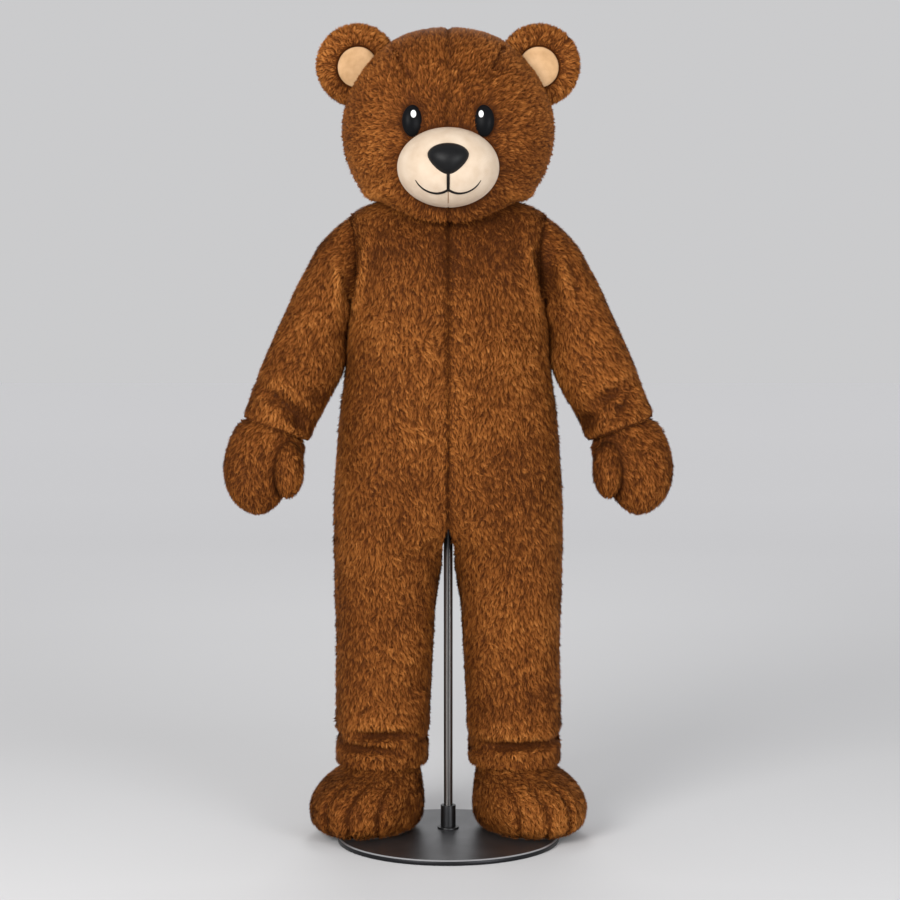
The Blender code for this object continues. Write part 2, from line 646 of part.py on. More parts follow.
def pad_profile():
    top = -EAR_HALF_THICK + EAR_RECESS - SEAM_GAP
    inner = PAD_RADIUS - 0.004
    return [(0.0, top, 1), (inner, top, 1), (PAD_RADIUS, top - 0.003, 1),
            (PAD_RADIUS - 0.002, top - PAD_THICK + 0.004, 1), (PAD_RADIUS - 0.012, top - PAD_THICK + 0.001, 1),
            (0.0, top - PAD_THICK, 1)]


def disc(name, rings, shift):
    """A closed disc of rings about Z, each moved by its share of the shift."""
    shape = bmesh.new()
    circles = []
    for radius, height, share in rings:
        middle = shift * share + Vector((0, 0, height))
        count = EAR_STEPS if radius else 1
        turns = [2 * pi * i / count for i in range(count)]
        circles.append([shape.verts.new(middle + radius * Vector((cos(t), sin(t), 0))) for t in turns])
    for above, below in zip(circles, circles[1:]):
        for i in range(EAR_STEPS):
            corners = [above[i % len(above)], below[i % len(below)],
                       below[(i + 1) % len(below)], above[(i + 1) % len(above)]]
            shape.faces.new(list(dict.fromkeys(corners)))
    bmesh.ops.recalc_face_normals(shape, faces=shape.faces)
    return mesh_of(name, shape, smooth=False)


def build_ears(head_form):
    for side, sign in SIDES.items():
        middle = Vector((EAR_MIDDLE.x * sign, EAR_MIDDLE.y, EAR_MIDDLE.z))
        shift = Vector((-PAD_INWARDS * sign, PAD_DOWN, 0))
        for name, rings, look in ((f"ear_{side}", ear_profile(), (FUR_BROWN, 0.9)),
                                  (f"ear_pad_{side}", pad_profile(), (EAR_TAN, 0.85))):
            piece = add_object(name, disc(name, rings, shift), *look)
            upright = Matrix.Rotation(radians(-90), 4, "X")
            outward = Matrix.Rotation(radians(EAR_TURN * sign), 4, "Z")
            piece.matrix_world = Matrix.Translation(middle) @ outward @ upright
            cut_by(piece, head_form)


def half_of(shape, sign):
    """Keeps one side of the middle plane, a half seam gap away from it, and closes the cut."""
    geom = shape.verts[:] + shape.edges[:] + shape.faces[:]
    plane = Vector((sign * SEAM_GAP / 2, 0, 0))
    cut = bmesh.ops.bisect_plane(shape, geom=geom, plane_co=plane, plane_no=(sign, 0, 0), clear_inner=True)
    edges = [g for g in cut["geom_cut"] if isinstance(g, bmesh.types.BMEdge)]
    bmesh.ops.holes_fill(shape, edges=edges, sides=0)
    bmesh.ops.recalc_face_normals(shape, faces=shape.faces)
    return shape


def muzzle_ball(grow=0.0):
    shape = bmesh.new()
    bmesh.ops.create_uvsphere(shape, u_segments=24, v_segments=12, radius=1.0)
    turn = Matrix.Rotation(radians(90), 4, "X")
    size = MUZZLE_SIZE + Vector((grow, grow, grow))
    bmesh.ops.transform(shape, matrix=Matrix.Translation(MUZZLE_MIDDLE) @ Matrix.Diagonal((*size, 1)) @ turn,
                        verts=shape.verts)
    return shape


def build_face(head_form):
    for side, sign in SIDES.items():
        half = half_of(muzzle_ball(), sign)
        piece = add_object(f"muzzle_{side}", mesh_of("muzzle", half), CREAM, 0.85)
        cut_by(piece, head_form)
        middle = Vector((EYE_MIDDLE.x * sign, EYE_MIDDLE.y, EYE_MIDDLE.z))
        eye = add_object(f"eye_{side}", ball("eye", middle, EYE_SIZE, EYE_TURN * sign), GLOSS_BLACK, 0.25)
        cut_by(eye, head_form)
    muzzle_form = add_form("form_muzzle", mesh_of("form_muzzle", muzzle_ball(SEAM_GAP)))
    nose = ball("nose", NOSE_MIDDLE, NOSE_SIZE, segments=16, rings=10)
    for vert in nose.vertices:
        rise = (vert.co.z - NOSE_MIDDLE.z) / NOSE_SIZE.z
        vert.co.x *= 1 + NOSE_TAPER * (rise - 0.35) * (0.5 if rise > 0.35 else 1)
    piece = add_object("nose", nose, GLOSS_BLACK, 0.35)
    cut_by(piece, muzzle_form)


def build_head():
    skin = head_skin()
    head_form = closed_form(skin, "form_head")
    add_pieces(skin, HEAD_WALL, FUR_BROWN, 0.9)
    build_ears(head_form)
    build_face(head_form)


# ---- stand ----

def build_stand():
    steel = (STEEL, 0.35, 0.9)
    edge = BASE_RADIUS - BASE_BEVEL
    turned("stand_base", [(0, BASE_THICK), (edge, BASE_THICK), (BASE_RADIUS, BASE_THICK - BASE_BEVEL),
                          (BASE_RADIUS, 0.001), (BASE_RADIUS - 0.001, 0), (0, 0)], Vector(), steel, steps=48)
    foot = BASE_THICK + SEAM_GAP
    hole = POLE_RADIUS + SEAM_GAP
    collar = [(hole, COLLAR_TOP), (COLLAR_RADIUS - 0.001, COLLAR_TOP), (COLLAR_RADIUS, COLLAR_TOP - 0.001),
              (COLLAR_RADIUS, foot + FLANGE_THICK), (FLANGE_RADIUS - 0.001, foot + FLANGE_THICK),
              (FLANGE_RADIUS, foot + FLANGE_THICK - 0.001), (FLANGE_RADIUS, foot), (hole, foot), (hole, COLLAR_TOP)]
    turned("stand_collar", collar, Vector((0, POLE_Y, 0)), steel, steps=24)
    pole_top = YOKE_TOP - 2 * YOKE_RADIUS - SEAM_GAP
    turned("stand_pole", [(0, pole_top), (POLE_RADIUS, pole_top), (POLE_RADIUS, foot), (0, foot)],
           Vector((0, POLE_Y, 0)), steel, steps=24)
    rest_top = HEAD_TOP - HEAD_WALL - 2 * SEAM_GAP
    rod_foot = YOKE_TOP + SEAM_GAP
    rest_foot = rest_top - REST_SAG - REST_THICK
    profile = [(0, rest_top), (REST_RADIUS * 0.5, rest_top - REST_SAG * 0.45), (REST_RADIUS, rest_top - REST_SAG),
               (REST_RADIUS, rest_foot + 0.002), (REST_RADIUS - 0.002, rest_foot), (NECK_ROD_RADIUS, rest_foot),
               (NECK_ROD_RADIUS, rod_foot), (0, rod_foot)]
    turned("stand_head_rest", profile, Vector((0, POLE_Y, 0)), steel, steps=24)
    build_yoke(steel)


def build_yoke(steel):
    """A bent tube under the shoulders, just inside the cloth."""
    away = SUIT_WALL + YOKE_RADIUS + 2 * SEAM_GAP
    middle = YOKE_TOP - YOKE_RADIUS
    line = []
    for z in (1.500, 1.487, 1.472):
        here, below = section_at(SUIT_SECTIONS, "z", z), section_at(SUIT_SECTIONS, "z", z - 0.006)
        slope = Vector((below.half_width - here.half_width, 0, below.z - here.z)).normalized()
        line.append(Vector((here.half_width, POLE_Y, z)) + slope.cross(Vector((0, 1, 0))) * -away)
    half = [Vector((0.0, POLE_Y, middle)), Vector((0.070, POLE_Y, middle))] + line
    route = [Vector((-p.x, p.y, p.z)) for p in reversed(half[1:])] + half
    curve = bpy.data.curves.new("stand_yoke", "CURVE")
    curve.dimensions = "3D"
    curve.bevel_depth = YOKE_RADIUS
    curve.bevel_resolution = 2
    curve.use_fill_caps = True
    spline = curve.splines.new("POLY")
    spline.points.add(len(route) - 1)
    for point, place in zip(spline.points, route):
        point.co = (*place, 1)
    add_object("stand_yoke", curve, *steel)


build_stand()
build_suit()
build_mittens()
build_boots()
build_head()
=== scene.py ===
# Bear mascot costume on its display stand: plush shells, fur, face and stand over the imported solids.
# Metres, +Z up, the bear faces -Y. Left and right are the wearer's, so left is +X.
from collections import namedtuple
from math import acos, asin, copysign, cos, exp, pi, radians, sin

import bmesh
import bpy
import numpy as np
from mathutils import Euler, Matrix, Vector
from mathutils.bvhtree import BVHTree


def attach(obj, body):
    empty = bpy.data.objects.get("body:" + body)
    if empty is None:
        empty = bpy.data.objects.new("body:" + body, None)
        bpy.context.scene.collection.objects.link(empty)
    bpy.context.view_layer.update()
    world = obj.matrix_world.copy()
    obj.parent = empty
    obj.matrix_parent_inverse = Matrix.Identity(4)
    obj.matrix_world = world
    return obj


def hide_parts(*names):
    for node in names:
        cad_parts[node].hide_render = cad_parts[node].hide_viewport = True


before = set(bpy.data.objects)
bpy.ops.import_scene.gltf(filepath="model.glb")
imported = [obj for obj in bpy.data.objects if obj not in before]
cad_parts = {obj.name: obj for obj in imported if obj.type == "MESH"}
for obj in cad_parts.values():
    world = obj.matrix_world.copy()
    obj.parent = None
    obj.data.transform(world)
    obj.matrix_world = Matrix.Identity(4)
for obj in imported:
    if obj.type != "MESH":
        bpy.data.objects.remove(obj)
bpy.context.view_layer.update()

sides = {"left": 1, "right": -1}


def placed(name, data):  # a new object in the scene
    made = bpy.data.objects.new(name, data)
    bpy.context.scene.collection.objects.link(made)
    return made


def evaluated(made):  # the mesh that an object's curve or modifiers give
    found = bpy.context.evaluated_depsgraph_get()
    found.update()
    return bpy.data.meshes.new_from_object(made.evaluated_get(found))


# camera, at the height of the waist and looking slightly down
cameraSet = {"place": (0.0, -4.94, 1.188), "down": 3.165, "lens": 85.0, "sensor": 36.0, "shiftX": 0.002}
camera = placed("camera", bpy.data.cameras.new("camera"))
camera.location = cameraSet["place"]
camera.rotation_euler = Euler((radians(90 - cameraSet["down"]), 0, 0))
camera.data.lens = cameraSet["lens"]
camera.data.sensor_width = cameraSet["sensor"]
camera.data.shift_x = cameraSet["shiftX"]
bpy.context.scene.camera = camera
bpy.context.scene.view_settings.view_transform = "Standard"  # plain studio colours, no film curve


# smooth tables
def rowsOf(kind, rows):
    return [kind(*row) for row in rows]


def slopesOf(x, y):
    step = np.diff(y) / np.diff(x)
    inner = np.where(step[1:] * step[:-1] > 0, 2 * step[1:] * step[:-1] / (step[1:] + step[:-1] + 1e-12), 0)
    return np.concatenate([[step[0]], inner, [step[-1]]])


def sectionAt(table, key, value):  # a row between the table's rows, each column on a curve with no overshoot
    rows = sorted(table, key=lambda row: getattr(row, key))
    x = np.array([getattr(row, key) for row in rows])
    at = int(np.clip(np.searchsorted(x, value) - 1, 0, len(x) - 2))
    span = x[at + 1] - x[at]
    t = float(np.clip((value - x[at]) / span, 0, 1))
    blend = ((1 + 2 * t) * (1 - t) ** 2, t * (1 - t) ** 2 * span, t * t * (3 - 2 * t), t * t * (t - 1) * span)
    found = []
    for y in np.array(rows, float).T:
        slope = slopesOf(x, y)
        found.append(float(np.dot(blend, (y[at], slope[at], y[at + 1], slope[at + 1]))))
    return type(rows[0])(*found)


def alongRows(table, place):  # a row at a place counted in rows, on a curve through them all
    rows = np.array(table, float)
    at = int(np.clip(int(place), 0, len(rows) - 2))
    t = place - at
    before, a, b, after = (rows[int(np.clip(at + k, 0, len(rows) - 1))] for k in (-1, 0, 1, 2))
    mixed = 0.5 * (2 * a + (b - before) * t + (2 * before - 5 * a + 4 * b - after) * t * t
                   + (3 * a - before - 3 * b + after) * t ** 3)
    return type(table[0])(*mixed)


def rounded(value, rounding):
    return copysign(abs(value) ** (2 / rounding), value)


def smooth(value, low, high):
    t = np.clip((value - low) / (high - low), 0.0, 1.0)
    return t * t * (3 - 2 * t)


def fallen(value, low, high):  # one below low, nothing above high
    return smooth(-value, -high, -low)


def heightsBetween(places, step):  # fills a list of heights so that none lie further apart than step
    filled = [places[0]]
    for after in places[1:]:
        count = max(1, round(abs(after - filled[-1]) / step))
        start = filled[-1]
        filled += [start + (after - start) * (i + 1) / count for i in range(count)]
    return filled


# node trees
class NodeMaker:  # short hand for a tree of shader nodes or geometry nodes
    def __init__(self, tree):
        self.tree = tree

    def give(self, node, inputs):
        for key, value in inputs.items():
            if isinstance(value, bpy.types.NodeSocket):
                self.tree.links.new(value, node.inputs[key])
            else:
                node.inputs[key].default_value = value

    def add(self, kind, inputs=None, **settings):
        made = self.tree.nodes.new(kind)
        for key, value in settings.items():
            setattr(made, key, value)
        self.give(made, inputs or {})
        return made

    def math(self, operation, a, b=0.0):
        return self.add("ShaderNodeMath", {0: a, 1: b}, operation=operation).outputs[0]

    def vector(self, operation, a, b=(0.0, 0.0, 0.0)):
        made = self.add("ShaderNodeVectorMath", {0: a, 1: b}, operation=operation)
        return made.outputs["Value" if operation in ("DOT_PRODUCT", "LENGTH") else "Vector"]

    def scaled(self, a, by):
        return self.add("ShaderNodeVectorMath", {0: a, "Scale": by}, operation="SCALE").outputs["Vector"]

    def mapped(self, inputs, kind="POINT"):  # the object's own coordinates, moved and scaled
        own = self.add("ShaderNodeTexCoord").outputs["Object"]
        return self.add("ShaderNodeMapping", {"Vector": own, **inputs}, vector_type=kind).outputs["Vector"]

    def noise(self, scale, detail, stretch=(1, 1, 1)):
        inputs = {"Vector": self.mapped({"Scale": stretch}), "Scale": scale, "Detail": detail}
        return self.add("ShaderNodeTexNoise", inputs).outputs["Fac"]

    def ramp(self, value, stops):
        made = self.add("ShaderNodeValToRGB", {"Fac": value})
        elements = made.color_ramp.elements
        while len(elements) < len(stops):
            elements.new(0.5)
        for element, (place, colour) in zip(elements, stops):
            element.position = place
            element.color = (*colour, 1.0)
        return made.outputs["Color"]

    def mixed(self, share, a, b):  # by number, since its sockets share their names
        return self.add("ShaderNodeMix", {0: share, 6: a, 7: b}, data_type="RGBA").outputs[2]

    def grain(self, shader, value, strength, depth, rough):  # bump and roughness from one fine noise
        bump = self.add("ShaderNodeBump", {"Height": value, "Strength": strength, "Distance": depth})
        spread = self.add("ShaderNodeMapRange", {"Value": value, "To Min": rough[0], "To Max": rough[1]})
        self.give(shader, {"Normal": bump.outputs["Normal"], "Roughness": spread.outputs["Result"]})

    def named(self, name, kind="FLOAT"):
        found = self.add("GeometryNodeInputNamedAttribute", {"Name": name}, data_type=kind)
        return found.outputs["Attribute"]

    def clamped(self, value, ends):
        return self.add("ShaderNodeClamp", {"Value": value, "Min": ends[0], "Max": ends[1]}).outputs[0]

    def chance(self, low, high, seed):
        made = self.add("FunctionNodeRandomValue", {2: low, 3: high, "Seed": seed}, data_type="FLOAT")
        return made.outputs[1]

    def store(self, geometry, name, value, kind="FLOAT", domain="POINT"):
        inputs = {"Geometry": geometry, "Name": name, "Value": value}
        made = self.add("GeometryNodeStoreNamedAttribute", inputs, data_type=kind, domain=domain)
        return made.outputs["Geometry"]

    def opened(self, sockets):  # a tree's inputs, its geometry first, and its one output
        face = self.tree.interface
        for name, kind in (("Geometry", "Geometry"), *sockets):
            face.new_socket(name, in_out="INPUT", socket_type="NodeSocket" + kind)
        face.new_socket("Geometry", in_out="OUTPUT", socket_type="NodeSocketGeometry")
        return self.add("NodeGroupInput").outputs

    def closed(self, geometry, material):
        done = self.add("GeometryNodeSetMaterial", {"Geometry": geometry, "Material": material}).outputs[0]
        self.add("NodeGroupOutput", {0: done})


def runNodes(carrier, tree, inputs):  # what a tree makes of an object, as a mesh
    run = carrier.modifiers.new("nodes", "NODES")
    run.node_group = tree
    keys = {item.name: item.identifier for item in tree.interface.items_tree if item.in_out == "INPUT"}
    for key, value in inputs.items():
        run[keys[key]] = value
    mesh = evaluated(carrier)
    carrier.modifiers.remove(run)
    return mesh


# materials
Finish = namedtuple("Finish", "stops patch grain depth rough specular metallic stretch",
                    defaults=(0.5, 0.0, (1, 1, 1)))
# colour stops, how fine the patches and the grain are, the grain's depth, and the roughness from low to high
finishes = {
    # the ground under the pile is darker than the pile: painted shade for the depth between the locks
    "pileGroundShade": Finish([(0.3, (0.045, 0.0125, 0.0026)), (0.7, (0.09, 0.026, 0.0052))],
                         60, 900, 0.002, (0.85, 0.95), 0.05),
    "knitBack": Finish([(0.3, (0.04, 0.014, 0.0045)), (0.7, (0.07, 0.024, 0.0075))],
                       40, 1400, 0.0012, (0.85, 0.95), 0.1),
    "headFoam": Finish([(0.3, (0.05, 0.046, 0.042)), (0.7, (0.085, 0.078, 0.07))],
                       30, 700, 0.0015, (0.85, 0.95), 0.1),
    "creamFleece": Finish([(0.25, (0.55, 0.425, 0.312)), (0.5, (0.6, 0.478, 0.36)),
                           (0.78, (0.65, 0.532, 0.414))], 34, 650, 0.0014, (0.8, 0.95), 0.1),
    "tanFleece": Finish([(0.25, (0.46, 0.275, 0.135)), (0.5, (0.56, 0.345, 0.18)),
                         (0.78, (0.66, 0.42, 0.235))], 40, 650, 0.0014, (0.8, 0.95), 0.1),
    "noseBlack": Finish([(0.3, (0.004, 0.004, 0.0044)), (0.7, (0.0062, 0.0062, 0.0067))],
                        45, 900, 0.0004, (0.38, 0.5), 0.17),
    "seamThread": Finish([(0.3, (0.2, 0.11, 0.055)), (0.7, (0.26, 0.15, 0.08))],
                         200, 1800, 0.0003, (0.75, 0.9), 0.1),
    "mouthThread": Finish([(0.3, (0.0045, 0.0035, 0.003)), (0.7, (0.011, 0.008, 0.0065))],
                          200, 1800, 0.0006, (0.6, 0.8), 0.15),
    "plateSteel": Finish([(0.3, (0.085, 0.085, 0.089)), (0.7, (0.12, 0.12, 0.125))],
                         14, 900, 0.0003, (0.3, 0.42), metallic=0.85),
    # the pole's steel carries painted reflection: dark and light streaks stretched along its length
    "poleSteelPaintedStreaks": Finish([(0.36, (0.024, 0.023, 0.024)), (0.5, (0.1, 0.096, 0.095)),
                         (0.62, (0.25, 0.238, 0.23))],
                        150, 600, 0.0003, (0.2, 0.32), metallic=0.9, stretch=(1, 1, 0.004)),
    "collarSteel": Finish([(0.3, (0.03, 0.03, 0.032)), (0.7, (0.06, 0.06, 0.062))],
                          60, 700, 0.0003, (0.3, 0.42), metallic=0.9, stretch=(1, 1, 0.02)),
    "soleRubber": Finish([(0.3, (0.02, 0.018, 0.017)), (0.7, (0.035, 0.032, 0.03))],
                         25, 500, 0.0015, (0.7, 0.85)),
    "zipTape": Finish([(0.3, (0.035, 0.016, 0.008)), (0.7, (0.06, 0.029, 0.015))],
                      80, 1500, 0.0008, (0.75, 0.9)),
}
# each lock runs from a dark root to a light tip: the darker root is painted shade deep in the pile
furColours = {
    "deep": (0.03, 0.0078, 0.0016), "dark": (0.11, 0.03, 0.0052), "middle": (0.275, 0.083, 0.0135),
    "light": (0.45, 0.156, 0.03), "tip": (0.64, 0.27, 0.068),
}
furShine = {"Roughness": 0.75, "Metallic": 0.0, "Specular IOR Level": 0.08, "Sheen Weight": 0.06,
            "Sheen Roughness": 0.5, "Sheen Tint": (0.8, 0.42, 0.16, 1.0)}
# the plate's rim: a painted highlight band along its top edge and painted shade on the side below it
rimLightSet = {"start": 0.255, "width": 0.005, "paintedHighlight": (0.46, 0.46, 0.47), "dark": (0.02, 0.02, 0.022)}


def newMaterial(name, inputs):  # a material, the maker of its tree and its shader
    made = bpy.data.materials.new(name)
    made.use_nodes = True
    make, shader = NodeMaker(made.node_tree), made.node_tree.nodes["Principled BSDF"]
    make.give(shader, inputs)
    return made, make, shader


def patchyMaterial(name, finish):  # colours spread by a coarse noise, bump and roughness by a fine one
    made, make, shader = newMaterial(name, {"Roughness": finish.rough[0], "Metallic": finish.metallic,
                                            "Specular IOR Level": finish.specular})
    patches = make.noise(finish.patch, 4.0, finish.stretch)
    make.give(shader, {"Base Color": make.ramp(patches, finish.stops)})
    make.grain(shader, make.noise(finish.grain, 4.0, finish.stretch), 0.7, finish.depth, finish.rough)
    return made


def furMaterial():  # its map runs from dark locks to light ones along u, and from root to tip along v; the dark roots are painted shade deep in the pile
    made, make, shader = newMaterial("brownPile", furShine)
    deep, dark, middle, light, tip = furColours.values()
    spot = make.add("ShaderNodeUVMap", uv_map="OFBake").outputs["UV"]
    split = make.add("ShaderNodeSeparateXYZ", {"Vector": spot}).outputs
    lower = make.ramp(split["X"], [(0.0, deep), (0.5, dark), (1.0, middle)])
    upper = make.ramp(split["X"], [(0.0, dark), (0.38, middle), (0.72, light), (1.0, tip)])
    make.give(shader, {"Base Color": make.mixed(split["Y"], lower, upper)})
    return made


def paintRimLight(material):  # the plate's edge gets a painted highlight band, lighter than its face, and painted shade on the side below it
    make, shader = NodeMaker(material.node_tree), material.node_tree.nodes["Principled BSDF"]
    face = shader.inputs["Base Color"].links[0].from_socket
    away = make.vector("LENGTH", make.mapped({"Scale": (1, 1, 0)}))
    ends = {"From Min": rimLightSet["start"], "From Max": rimLightSet["start"] + rimLightSet["width"]}
    share = make.add("ShaderNodeMapRange", {"Value": away, **ends}).outputs["Result"]
    edge = make.ramp(share, [(0.0, (0, 0, 0)), (0.2, (1, 1, 1))])
    side = make.ramp(share, [(0.7, rimLightSet["paintedHighlight"]), (0.8, rimLightSet["dark"])])
    make.give(shader, {"Base Color": make.mixed(edge, face, side)})


pile = furMaterial()
looks = {name: patchyMaterial(name, finish) for name, finish in finishes.items()}
paintRimLight(looks["plateSteel"])
print("materials ready")


# shells: a grid of points for each piece, joined where they meet, then laid in below the pile
pileDepth = 0.004
seamPull = 0.00025
mergeScale = 1e5  # places that agree to a hundredth of a millimetre are one


# a piece's grid: rows of points, how far each stands out, which way its pile runs and how much grows there
def newGrid(piece, points, lift, flow, grow, turned=False, closed=False):
    if closed:
        points, lift, flow, grow = (np.concatenate([a, a[:, :1]], axis=1) for a in (points, lift, flow, grow))
    return {"piece": piece, "points": points, "lift": lift, "flow": flow, "grow": grow, "turned": turned}


def unit(vectors):
    return vectors / np.maximum(np.linalg.norm(vectors, axis=-1, keepdims=True), 1e-9)


def downRows(points):  # the way from each row to the next
    return unit(np.gradient(points, axis=0))


def alongRow(points):
    return unit(np.gradient(points, axis=1))


def fromEdge(points):  # distance along each row from its first point
    steps = np.linalg.norm(np.diff(points, axis=1), axis=2)
    return np.concatenate([np.zeros((len(points), 1)), np.cumsum(steps, axis=1)], axis=1)


def meshFrom(name, points, faces, materials, marks=(), kinds=None):
    mesh = bpy.data.meshes.new(name)
    mesh.from_pydata(points.tolist(), [], faces)
    mesh.polygons.foreach_set("use_smooth", [True] * len(mesh.polygons))
    for material in materials:
        mesh.materials.append(material)
    if kinds is not None:
        mesh.polygons.foreach_set("material_index", kinds)
    for key, values in dict(marks).items():
        vector = values.ndim == 2
        made = mesh.attributes.new(key, "FLOAT_VECTOR" if vector else "FLOAT", "POINT")
        made.data.foreach_set("vector" if vector else "value", values.astype(np.float32).ravel())
    return placed(name, mesh)


def quadsOf(index, turned):
    corners = [index[:-1, :-1], index[1:, :-1], index[1:, 1:], index[:-1, 1:]]
    if turned:
        corners = corners[::-1]
    return np.stack(corners, axis=-1).reshape(-1, 4)


def cleanFace(corners):  # drops the corners that meet at a pole
    kept = [c for i, c in enumerate(corners) if c != corners[i - 1]]
    return kept if len(kept) > 2 else None


def mergedPoints(grids):  # each place once with its lift, while every grid learns its points' numbers
    every = np.concatenate([g["points"].reshape(-1, 3) for g in grids])
    lifts = np.concatenate([g["lift"].ravel() for g in grids])
    cells = np.round(every * mergeScale).astype(int)
    _, first, merged = np.unique(cells, axis=0, return_index=True, return_inverse=True)
    merged, start = merged.ravel(), 0
    for g in grids:
        g["index"] = merged[start:start + g["lift"].size].reshape(g["lift"].shape)
        g["quads"] = quadsOf(g["index"], g["turned"])
        start += g["lift"].size
    return every[first], lifts[first]


def normalsOf(places, grids):
    normals = np.zeros_like(places)
    for quads in (g["quads"] for g in grids):
        a, b, c, d = (places[quads[:, corner]] for corner in range(4))
        across = np.cross(c - a, d - b)
        for corner in range(4):
            np.add.at(normals, quads[:, corner], across)
    return unit(normals)


def openEdges(polygons):  # the edges with a face on one side only
    edges = dict.fromkeys((a, b) for face in polygons for a, b in zip(face, face[1:] + face[:1]))
    return [(a, b) for a, b in edges if (b, a) not in edges]


def pullIn(points, normals, border, pull):  # draws the points of a border back along the surface
    inward = {}
    for a, b in border:
        side = np.cross(normals[[a, b]].mean(axis=0), points[b] - points[a])
        for end in (a, b):
            inward[end] = inward.get(end, 0) + side / (np.linalg.norm(side) + 1e-9)
    for end, side in inward.items():
        points[end] += side / (np.linalg.norm(side) + 1e-9) * pull


# a mesh for each piece of the grids, with a second side when its wall has a thickness
def stitch(grids, wall, inset=pileDepth, outer=looks["pileGroundShade"], inner=looks["knitBack"], pull=seamPull):
    places, lift = mergedPoints(grids)
    places = places + normalsOf(places, grids) * lift[:, None]
    normals = normalsOf(places, grids)
    made = {}
    for name in dict.fromkeys(g["piece"] for g in grids):
        own = [g for g in grids if g["piece"] == name]
        quads = np.concatenate([g["quads"] for g in own])
        used, local = np.unique(quads, return_inverse=True)
        flow, grow = np.zeros((len(places), 3)), np.zeros(len(places))
        for g in own:
            flow[g["index"].ravel()] = g["flow"].reshape(-1, 3)
            grow[g["index"].ravel()] = g["grow"].ravel()
        points = places[used] - normals[used] * inset
        faces = [f for f in map(cleanFace, local.reshape(quads.shape).tolist()) if f]
        border = openEdges(faces)
        pullIn(points, normals[used], border, pull)
        # rise is each point's lift, which the pile's tone turns into painted light on ridges and painted
        # shade in creases and seams
        marks = {"flow": flow[used], "grow": grow[used], "rise": lift[used], "outside": np.ones(len(used))}
        kinds = [0] * len(faces)
        if wall:
            shift = len(used)
            back = [[c + shift for c in reversed(face)] for face in faces]
            rims = [[b, a, a + shift, b + shift] for a, b in border]
            kinds += [1] * (len(back) + len(rims))
            faces = faces + back + rims
            points = np.concatenate([points, points - normals[used] * wall])
            marks = {key: np.concatenate([part, part]) for key, part in marks.items()}
            marks["outside"][shift:] = 0
        made[name] = meshFrom(name, points, faces, [outer, inner], marks, kinds)
    return made


# fur: locks laid over a shell by Geometry Nodes
furSet = {
    "Density": 219000.0, "Length": 0.0118, "Width": 0.0021, "Lift": 27.0, "Lift spread": 13.0,
    "Wander": 0.8, "Jitter": 0.2, "Clump": 0.65, "Clump size": 0.0078, "Tuft lean": 0.85,
    "Clear gap": 0.0015, "Clear reach": 0.05, "Tone": 0.0,
}
# a lock's tone: its start, then how much a patch, a broad area, its tuft and the lock itself add, then
# painted shade from its way from the tuft's middle, painted light and shade from the height of its root
# (lighter on ridges, darker in creases and seams), and painted shade from a neighbour close by
toneSet = {
    "start": -0.405, "patch": 0.56, "broad": 0.7, "tuft": 0.42, "lock": 0.58, "edge": -0.66, "rise": 31.0,
    "near": -0.4,
}
# how much of a lock's normal is the skin's, its shape, and the ranges of its length, width, growth and tone
furLooks = {
    "skinShare": 0.68, "tipDrop": 0.8, "mapWidth": 0.01, "lengths": (0.65, 1.2), "widths": (0.6, 1.25),
    "growth": (0.05, 1.2), "tones": (0.02, 0.98), "fullFrom": 2.5,
}
# noise scales of the pile's turns and tones, how fast a neighbour's push fades and how strong it is
furNoise = {
    "wander": 14.0, "fine": 80.0, "fineTurn": 1.1, "broad": 5.0, "pushFade": -110.0, "push": 1.2,
    "lean": 0.35,
}
lockSeeds = {"shake": 5, "tilt": 7, "tone": 11, "length": 13, "width": 17}


def lockObject():  # one lock of pile, a lock wide and a lock long
    points = np.array([(-0.5, 0, 0), (0.5, 0, 0), (0, -furLooks["tipDrop"], 1)])
    marks = {"tip": np.array([0.0, 0.0, 1.0]), "across": np.array([-0.5, 0.5, 0.0])}
    made = meshFrom("lock", points, [[0, 2, 1]], [pile], marks)
    made.hide_render = True
    return made


def keptClear(make, given, place, points):  # drops roots inside a neighbour, and leans those beside it
    other = make.add("GeometryNodeObjectInfo", {"Object": given["Clear of"]}, transform_space="RELATIVE")
    other = other.outputs["Geometry"]
    ends = {"Target": other, "Source Position": place}
    near = make.add("GeometryNodeProximity", ends, target_element="FACES").outputs
    away = make.vector("SUBTRACT", place, near["Position"])
    normal = make.add("GeometryNodeInputNormal").outputs[0]
    sample = make.add("GeometryNodeSampleNearestSurface", {"Mesh": other}, data_type="FLOAT_VECTOR")
    make.give(sample, {"Value": normal})
    outwards = make.vector("DOT_PRODUCT", away, sample.outputs["Value"])
    within = make.math("LESS_THAN", near["Distance"], given["Clear reach"])
    close = make.math("MULTIPLY", make.math("LESS_THAN", outwards, given["Clear gap"]), within)
    inputs = {"Geometry": points, "Selection": make.math("MULTIPLY", close, near["Is Valid"])}
    kept = make.add("GeometryNodeDeleteGeometry", inputs, domain="POINT").outputs[0]
    # how near the neighbour is: it leans the pile, and the pile's tone turns it into painted shade beside the
    # neighbour
    fading = make.math("EXPONENT", make.math("MULTIPLY", near["Distance"], furNoise["pushFade"]))
    push = make.math("MULTIPLY", fading, near["Is Valid"])
    leaning = make.scaled(make.vector("NORMALIZE", away), make.math("MULTIPLY", push, furNoise["push"]))
    return kept, push, leaning


def swirl(make, place, scale, strength=0.0):  # a turn of the pile, and the tone that goes with it
    found = make.add("ShaderNodeTexNoise", {"Vector": place, "Scale": scale, "Detail": 1.0}).outputs
    centred = make.vector("SUBTRACT", found["Color"], (0.5, 0.5, 0.5))
    return make.scaled(centred, make.math("MULTIPLY", strength, 2.0)), found["Fac"]


